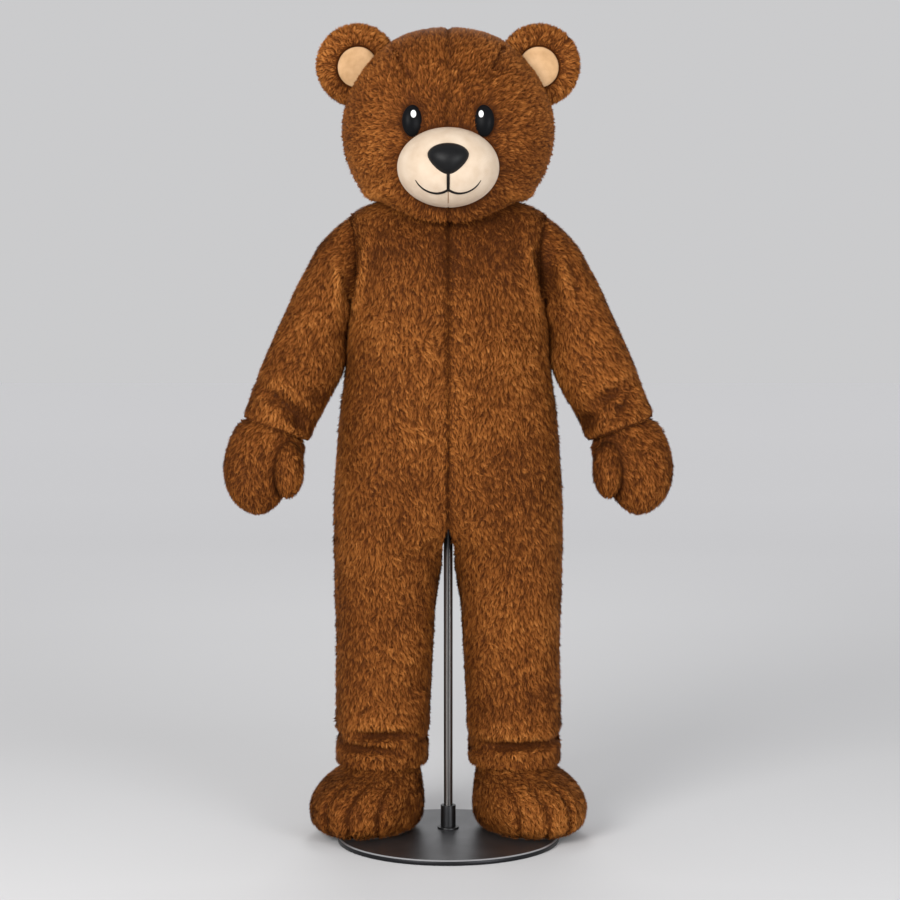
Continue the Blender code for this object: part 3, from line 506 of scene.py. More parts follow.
def furTree():
    tree = bpy.data.node_groups.new("laidFur", "GeometryNodeTree")
    make = NodeMaker(tree)
    given = make.opened([*((name, "Float") for name in furSet), ("Seed", "Int"), ("Lock", "Object"),
                         ("Clear of", "Object"), ("Finish", "Material")])
    grow = make.named("grow")
    place = make.add("GeometryNodeInputPosition").outputs[0]
    outside = make.math("GREATER_THAN", make.named("outside"), 0.75)
    share = make.math("MINIMUM", make.math("MULTIPLY", grow, furLooks["fullFrom"]), 1.0)
    spread = make.math("MULTIPLY", given["Density"], share)
    inputs = {"Mesh": given["Geometry"], "Selection": outside, "Density": spread, "Seed": given["Seed"]}
    roots = make.add("GeometryNodeDistributePointsOnFaces", inputs).outputs
    normal = roots["Normal"]
    kept, push, leaning = keptClear(make, given, place, roots["Points"])

    # the way each lock runs: the shell's flow, turned by swirls, gathered to its tuft and shaken
    wander, _ = swirl(make, place, furNoise["wander"], given["Wander"])
    fineTurn = make.math("MULTIPLY", given["Wander"], furNoise["fineTurn"])
    fine, patch = swirl(make, place, furNoise["fine"], fineTurn)
    _, broad = swirl(make, place, furNoise["broad"])
    size = make.math("DIVIDE", 1.0, given["Clump size"])
    tufts = make.add("ShaderNodeTexVoronoi", {"Vector": place, "Scale": size}).outputs
    middle = make.vector("SUBTRACT", tufts["Position"], place)
    gather = make.scaled(middle, make.math("DIVIDE", given["Clump"], given["Clump size"]))
    ends = {0: (-1.0, -1.0, -1.0), 1: (1.0, 1.0, 1.0), "Seed": lockSeeds["shake"]}
    shake = make.add("FunctionNodeRandomValue", ends, data_type="FLOAT_VECTOR").outputs[0]
    ownLean = make.scaled(make.vector("SUBTRACT", tufts["Color"], (0.5, 0.5, 0.5)), given["Tuft lean"])
    run = make.named("flow", "FLOAT_VECTOR")
    for part in (wander, fine, gather, ownLean, make.scaled(shake, given["Jitter"]), leaning):
        run = make.vector("ADD", run, part)
    along = make.scaled(normal, make.vector("DOT_PRODUCT", run, normal))
    flat = make.vector("NORMALIZE", make.vector("SUBTRACT", run, along))
    tilt = make.math("MULTIPLY", given["Lift spread"], make.chance(-1, 1, lockSeeds["tilt"]))
    tilt = make.math("MULTIPLY", make.math("ADD", given["Lift"], tilt), pi / 180)
    way = make.vector("ADD", make.scaled(flat, make.math("COSINE", tilt)),
                      make.scaled(normal, make.math("SINE", tilt)))
    over = make.vector("ADD", normal, make.scaled(shake, furNoise["lean"]))
    turn = make.add("FunctionNodeAxesToRotation", {"Primary Axis": way, "Secondary Axis": over},
                    primary_axis="Z", secondary_axis="Y").outputs[0]

    # each tuft has its own tone, each lock a little of its own, with painted shade at tuft edges, in creases
    # and beside a neighbour
    split = make.add("ShaderNodeSeparateXYZ", {0: tufts["Color"]}).outputs["X"]
    parts = {"patch": patch, "broad": broad, "tuft": split, "lock": make.chance(0, 1, lockSeeds["tone"]),
             "edge": tufts["Distance"], "rise": make.named("rise"), "near": push}
    tone = make.math("ADD", given["Tone"], toneSet["start"])
    for key, part in parts.items():
        tone = make.math("ADD", tone, make.math("MULTIPLY", part, toneSet[key]))
    tone = make.clamped(tone, furLooks["tones"])
    marked = make.store(make.store(kept, "shade", tone), "skin", normal, "FLOAT_VECTOR")

    long = make.math("MULTIPLY", given["Length"], make.clamped(grow, furLooks["growth"]))
    long = make.math("MULTIPLY", long, make.chance(*furLooks["lengths"], lockSeeds["length"]))
    wide = make.math("MULTIPLY", given["Width"], make.chance(*furLooks["widths"], lockSeeds["width"]))
    size = make.add("ShaderNodeCombineXYZ", {0: wide, 1: wide, 2: long}).outputs[0]
    one = make.add("GeometryNodeObjectInfo", {"Object": given["Lock"]}).outputs["Geometry"]
    laid = make.add("GeometryNodeInstanceOnPoints",
                    {"Points": marked, "Instance": one, "Rotation": turn, "Scale": size}).outputs[0]
    real = make.add("GeometryNodeRealizeInstances", {"Geometry": laid}).outputs[0]
    # a lock has some width on the map, so that it isn't a line there
    beside = make.math("MULTIPLY", make.named("across"), furLooks["mapWidth"])
    spot = {0: make.math("ADD", make.named("shade"), beside), 1: make.named("tip")}
    spot = make.add("ShaderNodeCombineXYZ", spot).outputs[0]
    make.closed(make.store(real, "OFBake", spot, "FLOAT2", "CORNER"), given["Finish"])
    return tree


fur = furTree()
lock = lockObject()
spareMarks = ("shade", "skin", "tip", "across", "flow", "grow", "rise", "outside")


def growFur(name, shell, seed, clear, changes):
    inputs = {**furSet, **changes, "Seed": seed, "Lock": lock, "Finish": pile}
    if clear is not None:
        inputs["Clear of"] = clear
    mesh = runNodes(shell, fur, inputs)
    mesh.name = name
    skin, own = np.empty((2, len(mesh.vertices) * 3), np.float32)
    mesh.attributes["skin"].data.foreach_get("vector", skin)
    mesh.vertex_normals.foreach_get("vector", own)
    skin, own = unit(skin.reshape(-1, 3)), own.reshape(-1, 3)
    own *= np.sign((own * skin).sum(axis=1, keepdims=True) + 1e-6)
    share = furLooks["skinShare"]
    for spare in [mark.name for mark in mesh.attributes if mark.name in spareMarks]:
        mesh.attributes.remove(mesh.attributes[spare])
    mesh.normals_split_custom_set_from_vertices(unit(share * skin + (1 - share) * own).tolist())
    return placed(name, mesh)


# suit: front and back halves with the legs
SuitSection = namedtuple("SuitSection", "z centreX centreY halfWidth front back slit")
suitSections = rowsOf(SuitSection, [
    (1.535, 0, 0.055, 0.099, 0.079, 0.08, 0), (1.512, 0, 0.055, 0.108, 0.083, 0.086, 0),
    (1.5, 0, 0.055, 0.145, 0.087, 0.095, 0), (1.487, 0, 0.055, 0.186, 0.091, 0.103, 0),
    (1.472, 0, 0.055, 0.216, 0.099, 0.112, 0), (1.455, 0, 0.055, 0.233, 0.109, 0.12, 0),
    (1.4, 0, 0.056, 0.242, 0.136, 0.138, 0), (1.33, 0, 0.057, 0.237, 0.147, 0.145, 0),
    (1.25, 0, 0.06, 0.226, 0.153, 0.147, 0), (1.14, 0, 0.063, 0.24, 0.16, 0.149, 0),
    (1, 0.012, 0.068, 0.243, 0.169, 0.153, 0), (0.86, 0.04, 0.074, 0.227, 0.171, 0.162, 0),
    (0.8, 0.06, 0.077, 0.21, 0.168, 0.164, 0), (0.775, 0.072, 0.078, 0.199, 0.164, 0.163, 0),
    (0.75, 0.087, 0.079, 0.184, 0.16, 0.161, 0), (0.725, 0.103, 0.08, 0.168, 0.155, 0.157, 0),
    (0.7, 0.122, 0.081, 0.149, 0.149, 0.152, 0.007), (0.685, 0.134, 0.082, 0.137, 0.145, 0.149, 0.0115),
    (0.671, 0.142, 0.083, 0.129, 0.142, 0.146, 0.0125), (0.65, 0.142, 0.084, 0.128, 0.139, 0.143, 0.0125),
    (0.6, 0.145, 0.086, 0.125, 0.132, 0.136, 0.0125), (0.46, 0.15, 0.089, 0.116, 0.121, 0.125, 0.0125),
    (0.31, 0.155, 0.091, 0.113, 0.115, 0.118, 0.0125), (0.168, 0.158, 0.092, 0.11, 0.113, 0.115, 0.0125),
])
# its size and heights, then its seams and armholes, and how the pile parts and runs short
suitSet = {
    "rounding": 2.35, "columns": 22, "wall": 0.003, "rowStep": 0.0105, "foldStep": 0.005,
    "neckRows": (1.535, 1.512, 1.487), "crotch": 0.7, "legTop": 0.671, "foldTop": 0.4, "fineTop": 0.3,
    "hem": 0.168, "legsToTorso": (0.8, 1.2), "zipFoot": 0.93, "zipHalfWidth": 0.004, "seamDip": 0.0042,
    "seamReach": 0.005, "inseamDip": 0.005, "inseamIn": 0.014, "inseamReach": 0.0045, "flank": 0.011,
    "flankAt": 1.222, "flankReach": 0.05, "holeMargin": 0.002, "holeDip": 0.0045, "holeReach": 0.008,
    "holeTop": (1.4, 1.45), "holeFoot": (1.25, 1.3), "middleLean": 0.75, "holeLean": (0.85, 0.15),
    "middleCut": (0.35, 0.3), "holeCut": (0.4, 0.0), "partingReach": 0.016, "neckShort": (1.512, 1.53),
    "neckCut": 0.9, "hemShort": 0.176, "hemGrow": 0.8,
}
shortPile = 0.006  # how far from a seam the pile is short
armhole = {"middle": 1.354, "halfHeight": 0.106, "halfDepth": 0.078, "steps": 20}
Fold = namedtuple("Fold", "at depth reach facing spread slope")
legFolds = {
    "left": rowsOf(Fold, [
        (0.2235, 0.026, 0.009, 0.1, 0.8, 0), (0.246, -0.01, 0.013, 0.15, 0.95, 0),
        (0.203, -0.007, 0.01, 0.2, 0.9, 0.02), (0.214, 0.014, 0.0085, -0.95, 0.4, 0.1),
        (0.236, 0.009, 0.008, 1.25, 0.35, -0.05), (0.292, 0.005, 0.014, -0.7, 0.5, -0.2),
        (0.33, 0.005, 0.018, 0.5, 0.7, 0.2), (0.24, 0.012, 0.01, 3, 1.3, 0.03),
        (0.262, -0.005, 0.014, 3, 1.3, 0.03),
    ]),
    "right": rowsOf(Fold, [
        (0.2475, 0.025, 0.0088, -0.02, 0.52, 0), (0.27, -0.009, 0.013, -0.05, 0.75, 0),
        (0.232, -0.008, 0.008, 0.1, 0.8, 0.06), (0.212, 0.021, 0.0085, 0.38, 0.68, 0.076),
        (0.196, -0.006, 0.009, 0.1, 1, 0.03), (0.236, 0.009, 0.008, 1.3, 0.35, 0.03),
        (0.222, 0.01, 0.008, -1.1, 0.4, -0.05), (0.34, 0.005, 0.016, -0.6, 0.6, -0.2),
        (0.233, 0.012, 0.01, 3, 1.3, -0.03), (0.256, -0.005, 0.014, 3, 1.3, -0.03),
    ]),
}
# soft creases: middle x and z, half width and height, depth (a ridge if negative), lean, on the back
Crease = namedtuple("Crease", "x z halfWidth halfHeight depth lean back")
suitCreases = rowsOf(Crease, [
    (0.02, 1.395, 0.15, 0.085, 0.008, 0, False), (-0.201, 1.314, 0.009, 0.09, -0.014, 0.13, False),
    (0.1945, 1.314, 0.009, 0.09, -0.0135, 0.13, False), (-0.229, 1.322, 0.0095, 0.047, 0.012, 0.02, False),
    (0.221, 1.32, 0.0095, 0.047, 0.012, 0.03, False), (-0.252, 1.335, 0.0115, 0.08, -0.0125, 0.06, False),
    (0.264, 1.328, 0.0125, 0.075, -0.013, 0.23, False), (-0.283, 1.32, 0.013, 0.07, 0.006, 0.15, False),
    (0.24, 1.29, 0.009, 0.06, 0.008, 0.2, False), (0.292, 1.31, 0.012, 0.06, 0.0055, 0.25, False),
    (-0.168, 1.38, 0.013, 0.07, 0.0045, 0.25, False), (0.162, 1.385, 0.013, 0.07, 0.0045, 0.25, False),
    (0.125, 1.462, 0.012, 0.034, 0.0045, 0.45, False), (-0.118, 1.46, 0.012, 0.03, 0.004, 0.5, False),
    (0.12, 0.77, 0.02, 0.1, 0.0035, 0.3, False), (-0.105, 0.785, 0.018, 0.09, 0.0032, 0.35, False),
    (0.04, 0.705, 0.012, 0.05, 0.004, 0.6, False), (-0.042, 0.7, 0.012, 0.045, 0.004, 0.6, False),
    (0.198, 1.33, 0.011, 0.085, -0.008, 0.15, True), (-0.194, 1.325, 0.011, 0.08, -0.008, 0.18, True),
    (0.226, 1.322, 0.01, 0.047, 0.011, 0.03, True), (-0.225, 1.322, 0.01, 0.047, 0.011, 0.02, True),
    (0.258, 1.33, 0.013, 0.075, -0.0085, 0.15, True), (-0.256, 1.325, 0.013, 0.075, -0.008, 0.12, True),
    (0.07, 1, 0.022, 0.13, 0.003, 0.25, True), (-0.085, 0.96, 0.02, 0.12, 0.0032, 0.3, True),
    (0.105, 0.76, 0.018, 0.07, 0.003, 0.55, True), (-0.11, 0.745, 0.018, 0.08, 0.003, 0.5, True),
    (0.165, 0.47, 0.05, 0.014, 0.0035, 0, True), (-0.16, 0.49, 0.05, 0.013, 0.0038, 0, True),
])


def liftOf(folds, along, across, facing):
    total = 0.0
    for fold in folds:
        turn = (facing - fold.facing + pi) % (2 * pi) - pi
        height = (along - fold.at - fold.slope * across) / fold.reach
        total -= fold.depth * exp(-height * height) * exp(-((turn / fold.spread) ** 2))
    return total


def creaseLift(x, z, back):
    total = 0.0
    for crease in suitCreases:
        if crease.back == back:
            rise = (z - crease.z) / crease.halfHeight
            across = (x - crease.x - np.sign(crease.x) * crease.lean * (crease.z - z)) / crease.halfWidth
            total -= crease.depth * exp(-across * across - rise * rise)
    return total


def suitRow(z, side, back):  # points from the middle seam or inner leg seam to the side seam or armhole
    row = sectionAt(suitSections, "z", z)
    depth, rounding = row.back if back else row.front, suitSet["rounding"]
    innerX = suitSet["zipHalfWidth"] if back and z >= suitSet["zipFoot"] else row.slit
    last = pi / 2
    rise = (z - armhole["middle"]) / armhole["halfHeight"]
    if abs(rise) < 1:
        last = acos((armhole["halfDepth"] * (1 - rise * rise) ** 0.5 / depth) ** (rounding / 2))
    leg, torso = suitSet["legsToTorso"]
    legs = float(np.clip((torso - z) / (torso - leg), 0, 1))
    innerReach = max(innerX, row.centreX - row.halfWidth)
    points, lifts = [], []
    for i in range(suitSet["columns"] + 1):
        share = i / suitSet["columns"]
        across = legs * (1 - cos(pi * share)) / 2 + (1 - legs) * sin(pi / 2 * share)
        x = innerReach + (row.centreX + row.halfWidth - innerReach) * across
        angle = asin(rounded(max(min((x - row.centreX) / row.halfWidth, 1.0), -1.0), 4 / rounding))
        angle -= (pi / 2 - last) * share ** 3
        x = row.centreX + row.halfWidth * rounded(sin(angle), rounding)
        y = row.centreY + (1 if back else -1) * depth * rounded(cos(angle), rounding)
        lift = 0.0
        if z < suitSet["foldTop"]:
            lift = liftOf(legFolds[side], z, x - row.centreX, pi - angle if back else angle)
        if z > suitSet["crotch"]:
            lift -= suitSet["seamDip"] * exp(-(((x - innerX) / suitSet["seamReach"]) ** 2))
        elif not back:  # the pile stands up beside the inner leg seam
            beside = (x - innerX - suitSet["inseamIn"]) / suitSet["inseamReach"]
            lift -= suitSet["inseamDip"] * exp(-(beside ** 2))
        lift += creaseLift(x * sides[side], z, back)
        low = (z - suitSet["flankAt"]) / suitSet["flankReach"]
        lift += suitSet["flank"] * share ** 4 * exp(-(low ** 2))
        points.append((x * sides[side], y, z))
        lifts.append(lift)
    return points, lifts


def armholeHeights():
    steps = armhole["steps"]
    return [armhole["middle"] + armhole["halfHeight"] * cos(pi * i / steps) for i in range(steps + 1)]


def partedFlow(points, lean, reach, cut):  # pile runs down, parts at both edges and is short there
    down, across = downRows(points), alongRow(points)
    first = fromEdge(points)
    last = first[:, -1:] - first
    flow = down + across * (lean[0] * np.exp(-first / reach) - lean[1] * np.exp(-last / reach))[..., None]
    grow = (1 - cut[0] * np.exp(-first / shortPile)) * (1 - cut[1] * np.exp(-last / shortPile))
    return unit(flow), grow


def makeSuit():
    s, holes = suitSet, armholeHeights()
    body = heightsBetween([*s["neckRows"], holes[0]], s["rowStep"]) + holes[1:]
    body += heightsBetween([holes[-1], s["crotch"], s["legTop"]], s["rowStep"])[1:]
    body += heightsBetween([s["legTop"], s["fineTop"]], s["rowStep"])[1:]
    body += heightsBetween([s["fineTop"], s["hem"]], s["foldStep"])[1:]
    beside = slice(body.index(holes[0]), body.index(holes[0]) + len(holes))
    grids, borders = [], {}
    for side in sides:
        for part in ("front", "back"):
            rows = [suitRow(z, side, part == "back") for z in body]
            points, lift = np.array([row[0] for row in rows]), np.array([row[1] for row in rows])
            z = points[..., 2]
            inHole = np.abs(z - armhole["middle"]) < armhole["halfHeight"] + s["holeMargin"]
            lean = (np.full(z.shape, s["middleLean"]), np.where(inHole, *s["holeLean"]))
            cut = (np.where(z > s["crotch"], *s["middleCut"]), np.where(inHole, *s["holeCut"]))
            toHole = fromEdge(points)[:, -1:] - fromEdge(points)
            dip = np.exp(-((toHole / s["holeReach"]) ** 2)) * inHole
            lift -= s["holeDip"] * dip * fallen(z, *s["holeTop"]) * smooth(z, *s["holeFoot"])
            flow, grow = partedFlow(points, lean, s["partingReach"], cut)
            grow = grow * (1 - s["neckCut"] * smooth(z, *s["neckShort"]))
            grow = grow * np.where(z < s["hemShort"], s["hemGrow"], 1.0)
            turned = (part == "back") == (side == "left")
            grids.append(newGrid(f"suit.{part}.{side}", points, lift, flow, grow, turned))
            borders[part, side] = points[beside, -1], lift[beside, -1]
    return grids, borders


# sleeves, from the armhole to the cuff
SleeveRing = namedtuple("SleeveRing", "along centreX centreY centreZ halfWidth halfDepth tilt")
sleeveRings = rowsOf(SleeveRing, [
    (0, 0.226, 0.056, 1.354, 0.106, 0.08, 90), (0.12, 0.261, 0.055, 1.327, 0.084, 0.087, 68),
    (0.26, 0.283, 0.053, 1.275, 0.08, 0.086, 50), (0.4, 0.304, 0.05, 1.221, 0.079, 0.084, 32),
    (0.57, 0.325, 0.046, 1.155, 0.0865, 0.083, 24), (0.74, 0.35, 0.041, 1.088, 0.09, 0.083, 21),
    (0.88, 0.378, 0.036, 1.022, 0.087, 0.081, 20), (1, 0.405, 0.031, 0.965, 0.082, 0.077, 20.7),
])
sleeveFolds = {
    "left": rowsOf(Fold, [
        (0.832, 0.02, 0.022, 1.55, 0.55, -0.05), (0.925, 0.021, 0.02, 1.2, 0.5, -0.29),
        (0.9, 0.019, 0.026, 2.6, 0.42, 0), (0.785, -0.006, 0.028, 1.4, 0.8, -0.05),
        (0.88, -0.007, 0.018, 1.3, 0.6, -0.16), (0.92, -0.008, 0.026, 2, 0.38, -0.1),
        (0.965, -0.005, 0.02, 1.5, 1.6, 0), (1, -0.004, 0.045, 3.14, 0.8, 0),
        (0.16, -0.014, 0.12, 3.14, 0.9, 0), (0.58, -0.01, 0.15, 3.14, 0.7, 0),
        (0.86, 0.009, 0.022, 4.3, 0.9, 0.04), (0.6, 0.005, 0.04, 4.8, 0.8, -0.05),
    ]),
    "right": rowsOf(Fold, [
        (0.872, 0.021, 0.02, 1.75, 0.85, -0.09), (0.905, 0.02, 0.026, 2.3, 0.36, -0.1),
        (0.8, 0.008, 0.03, 2.55, 0.4, 0), (0.82, -0.006, 0.026, 1.3, 0.8, -0.09),
        (0.905, -0.007, 0.022, 0.9, 0.6, -0.09), (0.945, -0.008, 0.022, 2, 0.9, -0.1),
        (1, -0.004, 0.045, 3.14, 0.8, 0), (0.16, -0.014, 0.12, 3.14, 0.9, 0),
        (0.58, -0.01, 0.15, 3.14, 0.7, 0), (0.83, 0.009, 0.024, 4.5, 0.9, -0.04),
        (0.64, 0.005, 0.04, 4.4, 0.8, 0.05),
    ]),
}
sleeveSet = {"rows": 52, "blend": 0.12, "foldAcross": 5, "creaseFade": 3, "holeShort": 0.015, "holeCut": 0.4,
             "cuffShort": (0.96, 0.995), "cuffCut": 0.65}


# an upright ellipse that leans outwards, from its outer end round by the front
def leaningRing(ring, side, columns, count):
    tilt = radians(ring.tilt)
    angles = [2 * pi * i / columns for i in range(count)]
    reach = [ring.halfWidth * cos(angle) for angle in angles]
    points = [((ring.centreX + r * cos(tilt)) * sides[side], ring.centreY - ring.halfDepth * sin(angle),
               ring.centreZ + r * sin(tilt)) for r, angle in zip(reach, angles)]
    return angles, reach, points


def sleeveRing(along, side):
    ring = sectionAt(sleeveRings, "along", along)
    columns = 2 * armhole["steps"]
    angles, reach, points = leaningRing(ring, side, columns, columns)
    lifts = []
    for angle, across, (x, _, z) in zip(angles, reach, points):
        facing = min(sleeveSet["creaseFade"] * abs(sin(angle)), 1.0)  # none where front and back meet
        folds = liftOf(sleeveFolds[side], along, sleeveSet["foldAcross"] * across, angle)
        lifts.append(folds + facing * creaseLift(x, z, angle > pi))
    return np.array(points), np.array(lifts)


def makeSleeves(borders):
    grids = []
    for side in sides:
        (front, frontLift), (back, backLift) = borders["front", side], borders["back", side]
        hole = np.concatenate([front, back[-2:0:-1]])
        holeLift = np.concatenate([frontLift, backLift[-2:0:-1]])
        start, _ = sleeveRing(0.0, side)
        rows, lifts = [hole], [holeLift]
        for along in np.linspace(0, 1, sleeveSet["rows"] + 1)[1:]:
            points, lift = sleeveRing(along, side)
            rest = 1 - smooth(along, 0, sleeveSet["blend"])
            rows.append(points + (hole - start) * rest)
            lifts.append(lift * (1 - rest) + holeLift * rest)
        points, lift = np.array(rows), np.array(lifts)
        along = np.linspace(0, 1, len(rows))[:, None] * np.ones(points.shape[1])
        grow = 1 - sleeveSet["holeCut"] * np.exp(-along / sleeveSet["holeShort"])
        grow = grow * (1 - sleeveSet["cuffCut"] * smooth(along, *sleeveSet["cuffShort"]))
        flow, turned = downRows(points), side == "left"
        grids.append(newGrid(f"sleeve.{side}", points, lift, flow, grow, turned, closed=True))
    return grids


# mittens
MittenRing = namedtuple("MittenRing", "centreX centreY centreZ halfWidth halfDepth tilt")
mittenRings = rowsOf(MittenRing, [
    (0.3905, 0.0335, 0.996, 0.0725, 0.0668, 20.2), (0.4045, 0.031, 0.9655, 0.0712, 0.0662, 20.7),
    (0.411, 0.03, 0.95, 0.083, 0.07, 20.7), (0.421, 0.028, 0.927, 0.089, 0.075, 19),
    (0.433, 0.025, 0.897, 0.09, 0.076, 16), (0.443, 0.022, 0.866, 0.086, 0.073, 10),
    (0.448, 0.02, 0.836, 0.078, 0.067, 6), (0.449, 0.018, 0.808, 0.066, 0.057, 3),
    (0.447, 0.017, 0.785, 0.049, 0.043, 0), (0.445, 0.016, 0.768, 0.027, 0.024, 0),
    (0.444, 0.016, 0.761, 0, 0, 0), (0.445, 0.016, 0.768, -0.027, -0.024, 0),
])
mittenSet = {
    "columns": 40, "rowsEach": 3, "wall": 0.003, "seamDip": 0.002, "seamReach": 0.006, "seamTop": 0.94,
    "partingReach": 0.012, "partingLean": (0.35, 0.35), "partingCut": (0.25, 0.25), "cuffX": 0.405,
    "cuffZ": 0.966, "cuffSlope": 0.378, "cuffPile": 0.01, "cuffDip": 0.009, "cuffFade": (-0.002, 0.018),
    "thumb": (0.3715, -0.02, 0.872), "thumbSize": (0.039, 0.044, 0.069), "thumbRows": 26, "thumbColumns": 32,
}


def makeMittens():
    s = mittenSet
    last, half = len(mittenRings) - 2, s["columns"] // 2
    grids = []
    for side in sides:
        places = np.linspace(0, last, last * s["rowsEach"] + 1)
        rings = [alongRows(mittenRings, place) for place in places]
        points = np.array([leaningRing(ring, side, s["columns"], s["columns"] + 1)[2] for ring in rings])
        points[-1] = points[-1, 0]
        for name, part in (("back", slice(0, half + 1)), ("palm", slice(half, None))):
            own = points[:, part]
            flow, grow = partedFlow(own, s["partingLean"], s["partingReach"], s["partingCut"])
            line = own[..., 2] - s["cuffSlope"] * (np.abs(own[..., 0]) - s["cuffX"])
            grow = grow * (1 - smooth(line, s["cuffZ"], s["cuffZ"] + s["cuffPile"]))
            first = fromEdge(own)
            edge = np.minimum(first, first[:, -1:] - first)
            lift = -s["seamDip"] * np.exp(-((edge / s["seamReach"]) ** 2)) * (own[..., 2] < s["seamTop"])
            lift -= s["cuffDip"] * smooth(line, *(s["cuffZ"] + past for past in s["cuffFade"]))
            grids.append(newGrid(f"mitten.{name}.{side}", own, lift, flow, grow, turned=side == "left"))
    return grids


def ballGrid(piece, middle, size, rows, columns, turn=0.0):  # a closed ball of rings, from its top down
    down = np.linspace(0, pi, rows + 1)[:, None]
    about = np.linspace(0, 2 * pi, columns, endpoint=False)[None, :]
    local = np.stack([np.sin(down) * np.sin(about) * size[0], -np.sin(down) * np.cos(about) * size[1],
                      np.cos(down) * size[2] * np.ones_like(about)], axis=-1)
    spin = np.array([[cos(turn), sin(turn), 0], [-sin(turn), cos(turn), 0], [0, 0, 1]])
    points = local @ spin + np.array(middle)
    zero = np.zeros(points.shape[:2])
    return newGrid(piece, points, zero, downRows(points), zero + 1.0, closed=True)


def openInside(made, surface):  # takes away the faces that lie deep inside the head, where nobody looks
    depths = []
    for vertex in made.data.vertices:
        place, normal, _, _ = surface.find_nearest(vertex.co)
        depths.append((place - vertex.co).dot(normal))
    shape = bmesh.new()
    shape.from_mesh(made.data)
    gone = [f for f in shape.faces if min(depths[v.index] for v in f.verts) > headSet["hiddenDepth"]]
    bmesh.ops.delete(shape, geom=gone, context="FACES")
    shape.to_mesh(made.data)
    shape.free()


def makeThumbs():
    made = {}
    for side, sign in sides.items():
        x, y, z = mittenSet["thumb"]
        grid = ballGrid(f"mitten.thumb.{side}", (x * sign, y, z), mittenSet["thumbSize"],
                        mittenSet["thumbRows"], mittenSet["thumbColumns"])
        grid["flow"][:] = unit(grid["flow"] + np.array([0, 0, -0.6]))
        made.update(stitch([grid], mittenSet["wall"]))
    return made


# boots: level rings from the sole to the shaft inside the trouser leg
BootRing = namedtuple("BootRing", "z halfWidth toe heel toLeg toeGroove")
bootRings = rowsOf(BootRing, [
    (0.0125, 0.102, 0.16, 0.088, 0, 0), (0.024, 0.116, 0.18, 0.1, 0, 0.45),
    (0.047, 0.127, 0.195, 0.106, 0, 1), (0.072, 0.13, 0.196, 0.107, 0, 1),
    (0.096, 0.1275, 0.189, 0.105, 0.05, 1), (0.116, 0.1215, 0.172, 0.101, 0.15, 0.9),
    (0.134, 0.1135, 0.148, 0.098, 0.35, 0.65), (0.149, 0.102, 0.119, 0.096, 0.62, 0.2),
    (0.16, 0.0945, 0.1, 0.095, 0.9, 0.05), (0.172, 0.0915, 0.0945, 0.095, 1, 0),
    (0.206, 0.091, 0.0935, 0.094, 1, 0),
])
bootSet = {
    "middle": (0.180, 0.088), "legMiddle": (0.158, 0.092), "toeOut": radians(19.0), "egg": 0.14,
    "toeSeams": (-33.0, -5.0, 20.0), "seamDepth": 0.008, "seamSpread": 2.0, "partSpread": 3.4, "puff": 0.004,
    "columnsEach": 4, "rows": (0.206, 0.16, 0.072, 0.024, 0.0125), "rowStep": 0.006, "wall": 0.004,
    "shaftShort": (0.166, 0.178), "soleShort": (0.014, 0.03), "soleGrow": (0.8, 0.2), "downFlow": 0.7,
    "toeFlow": 0.9, "toeDrop": -0.55, "toeTop": (0.12, 0.165), "part": 0.8, "partTop": 0.135, "near": 1.6,
    "nearTop": 0.14, "nearCut": 0.6,
}
# the directions of a boot's columns in degrees from its toe, close together at the toe seams
bootTurns = [-180, -161, -142, -124, -106, -88, -73, -61, -51, -42, -33, -23, -14, -5, 4, 12, 20, 28, 37, 47,
             58, 70, 84, 100, 118, 138, 158, 180]


def bootPoints(z, side):
    s, ring = bootSet, sectionAt(bootRings, "z", z)
    toLeg, out = ring.toLeg, s["toeOut"] * (1 - ring.toLeg)
    centre = np.array(s["middle"]) * (1 - toLeg) + np.array(s["legMiddle"]) * toLeg
    points, lifts = [], []
    for before, after in zip(bootTurns, bootTurns[1:]):
        for part in range(s["columnsEach"]):
            degrees = before + (after - before) * (part + 1) / s["columnsEach"]
            angle = radians(degrees)
            reach = ring.toe if cos(angle) > 0 else ring.heel
            groove = sum(exp(-(((degrees - seam) / s["seamSpread"]) ** 2)) for seam in s["toeSeams"])
            lift = s["puff"] * max(cos(angle), 0.0) - (s["seamDepth"] + s["puff"]) * groove
            across = ring.halfWidth * sin(angle) * (1 + s["egg"] * cos(angle) * (1 - toLeg))
            forward = reach * cos(angle)
            x = centre[0] + across * cos(out) + forward * sin(out)
            points.append((x * sides[side], centre[1] - forward * cos(out) + across * sin(out), z))
            lifts.append(ring.toeGroove * lift)
    return points, lifts


def makeBoots():
    s, grids = bootSet, []
    for side in sides:
        rows = [bootPoints(z, side) for z in heightsBetween(s["rows"], s["rowStep"])]
        points, lift = np.array([row[0] for row in rows]), np.array([row[1] for row in rows])
        z = points[..., 2]
        toes = np.array([sin(s["toeOut"]) * sides[side], -cos(s["toeOut"]), s["toeDrop"]])
        toToes = s["toeFlow"] * fallen(z, *s["toeTop"])
        flow = unit(downRows(points) * s["downFlow"] + toes * toToes[..., None])
        places = (np.arange(points.shape[1]) + 1) / s["columnsEach"]
        degrees = np.interp(places, np.arange(len(bootTurns)), np.array(bootTurns, float))
        part, near = np.zeros(z.shape), np.zeros(z.shape)
        for seam in s["toeSeams"]:  # the pile parts at each toe seam
            off = (degrees - seam) / s["partSpread"]
            part += np.sign(off) * np.exp(-np.abs(off)) * (z < s["partTop"])
            near += np.exp(-(off * s["near"]) ** 2) * (z < s["nearTop"])
        flow = unit(flow + alongRow(points) * (s["part"] * part)[..., None])
        grow = (1 - s["nearCut"] * np.minimum(near, 1)) * (1 - smooth(z, *s["shaftShort"]))
        grow = grow * (s["soleGrow"][0] + s["soleGrow"][1] * smooth(z, *s["soleShort"]))
        grids.append(newGrid(f"boot.{side}", points, lift, flow, grow, side == "right", closed=True))
    return grids


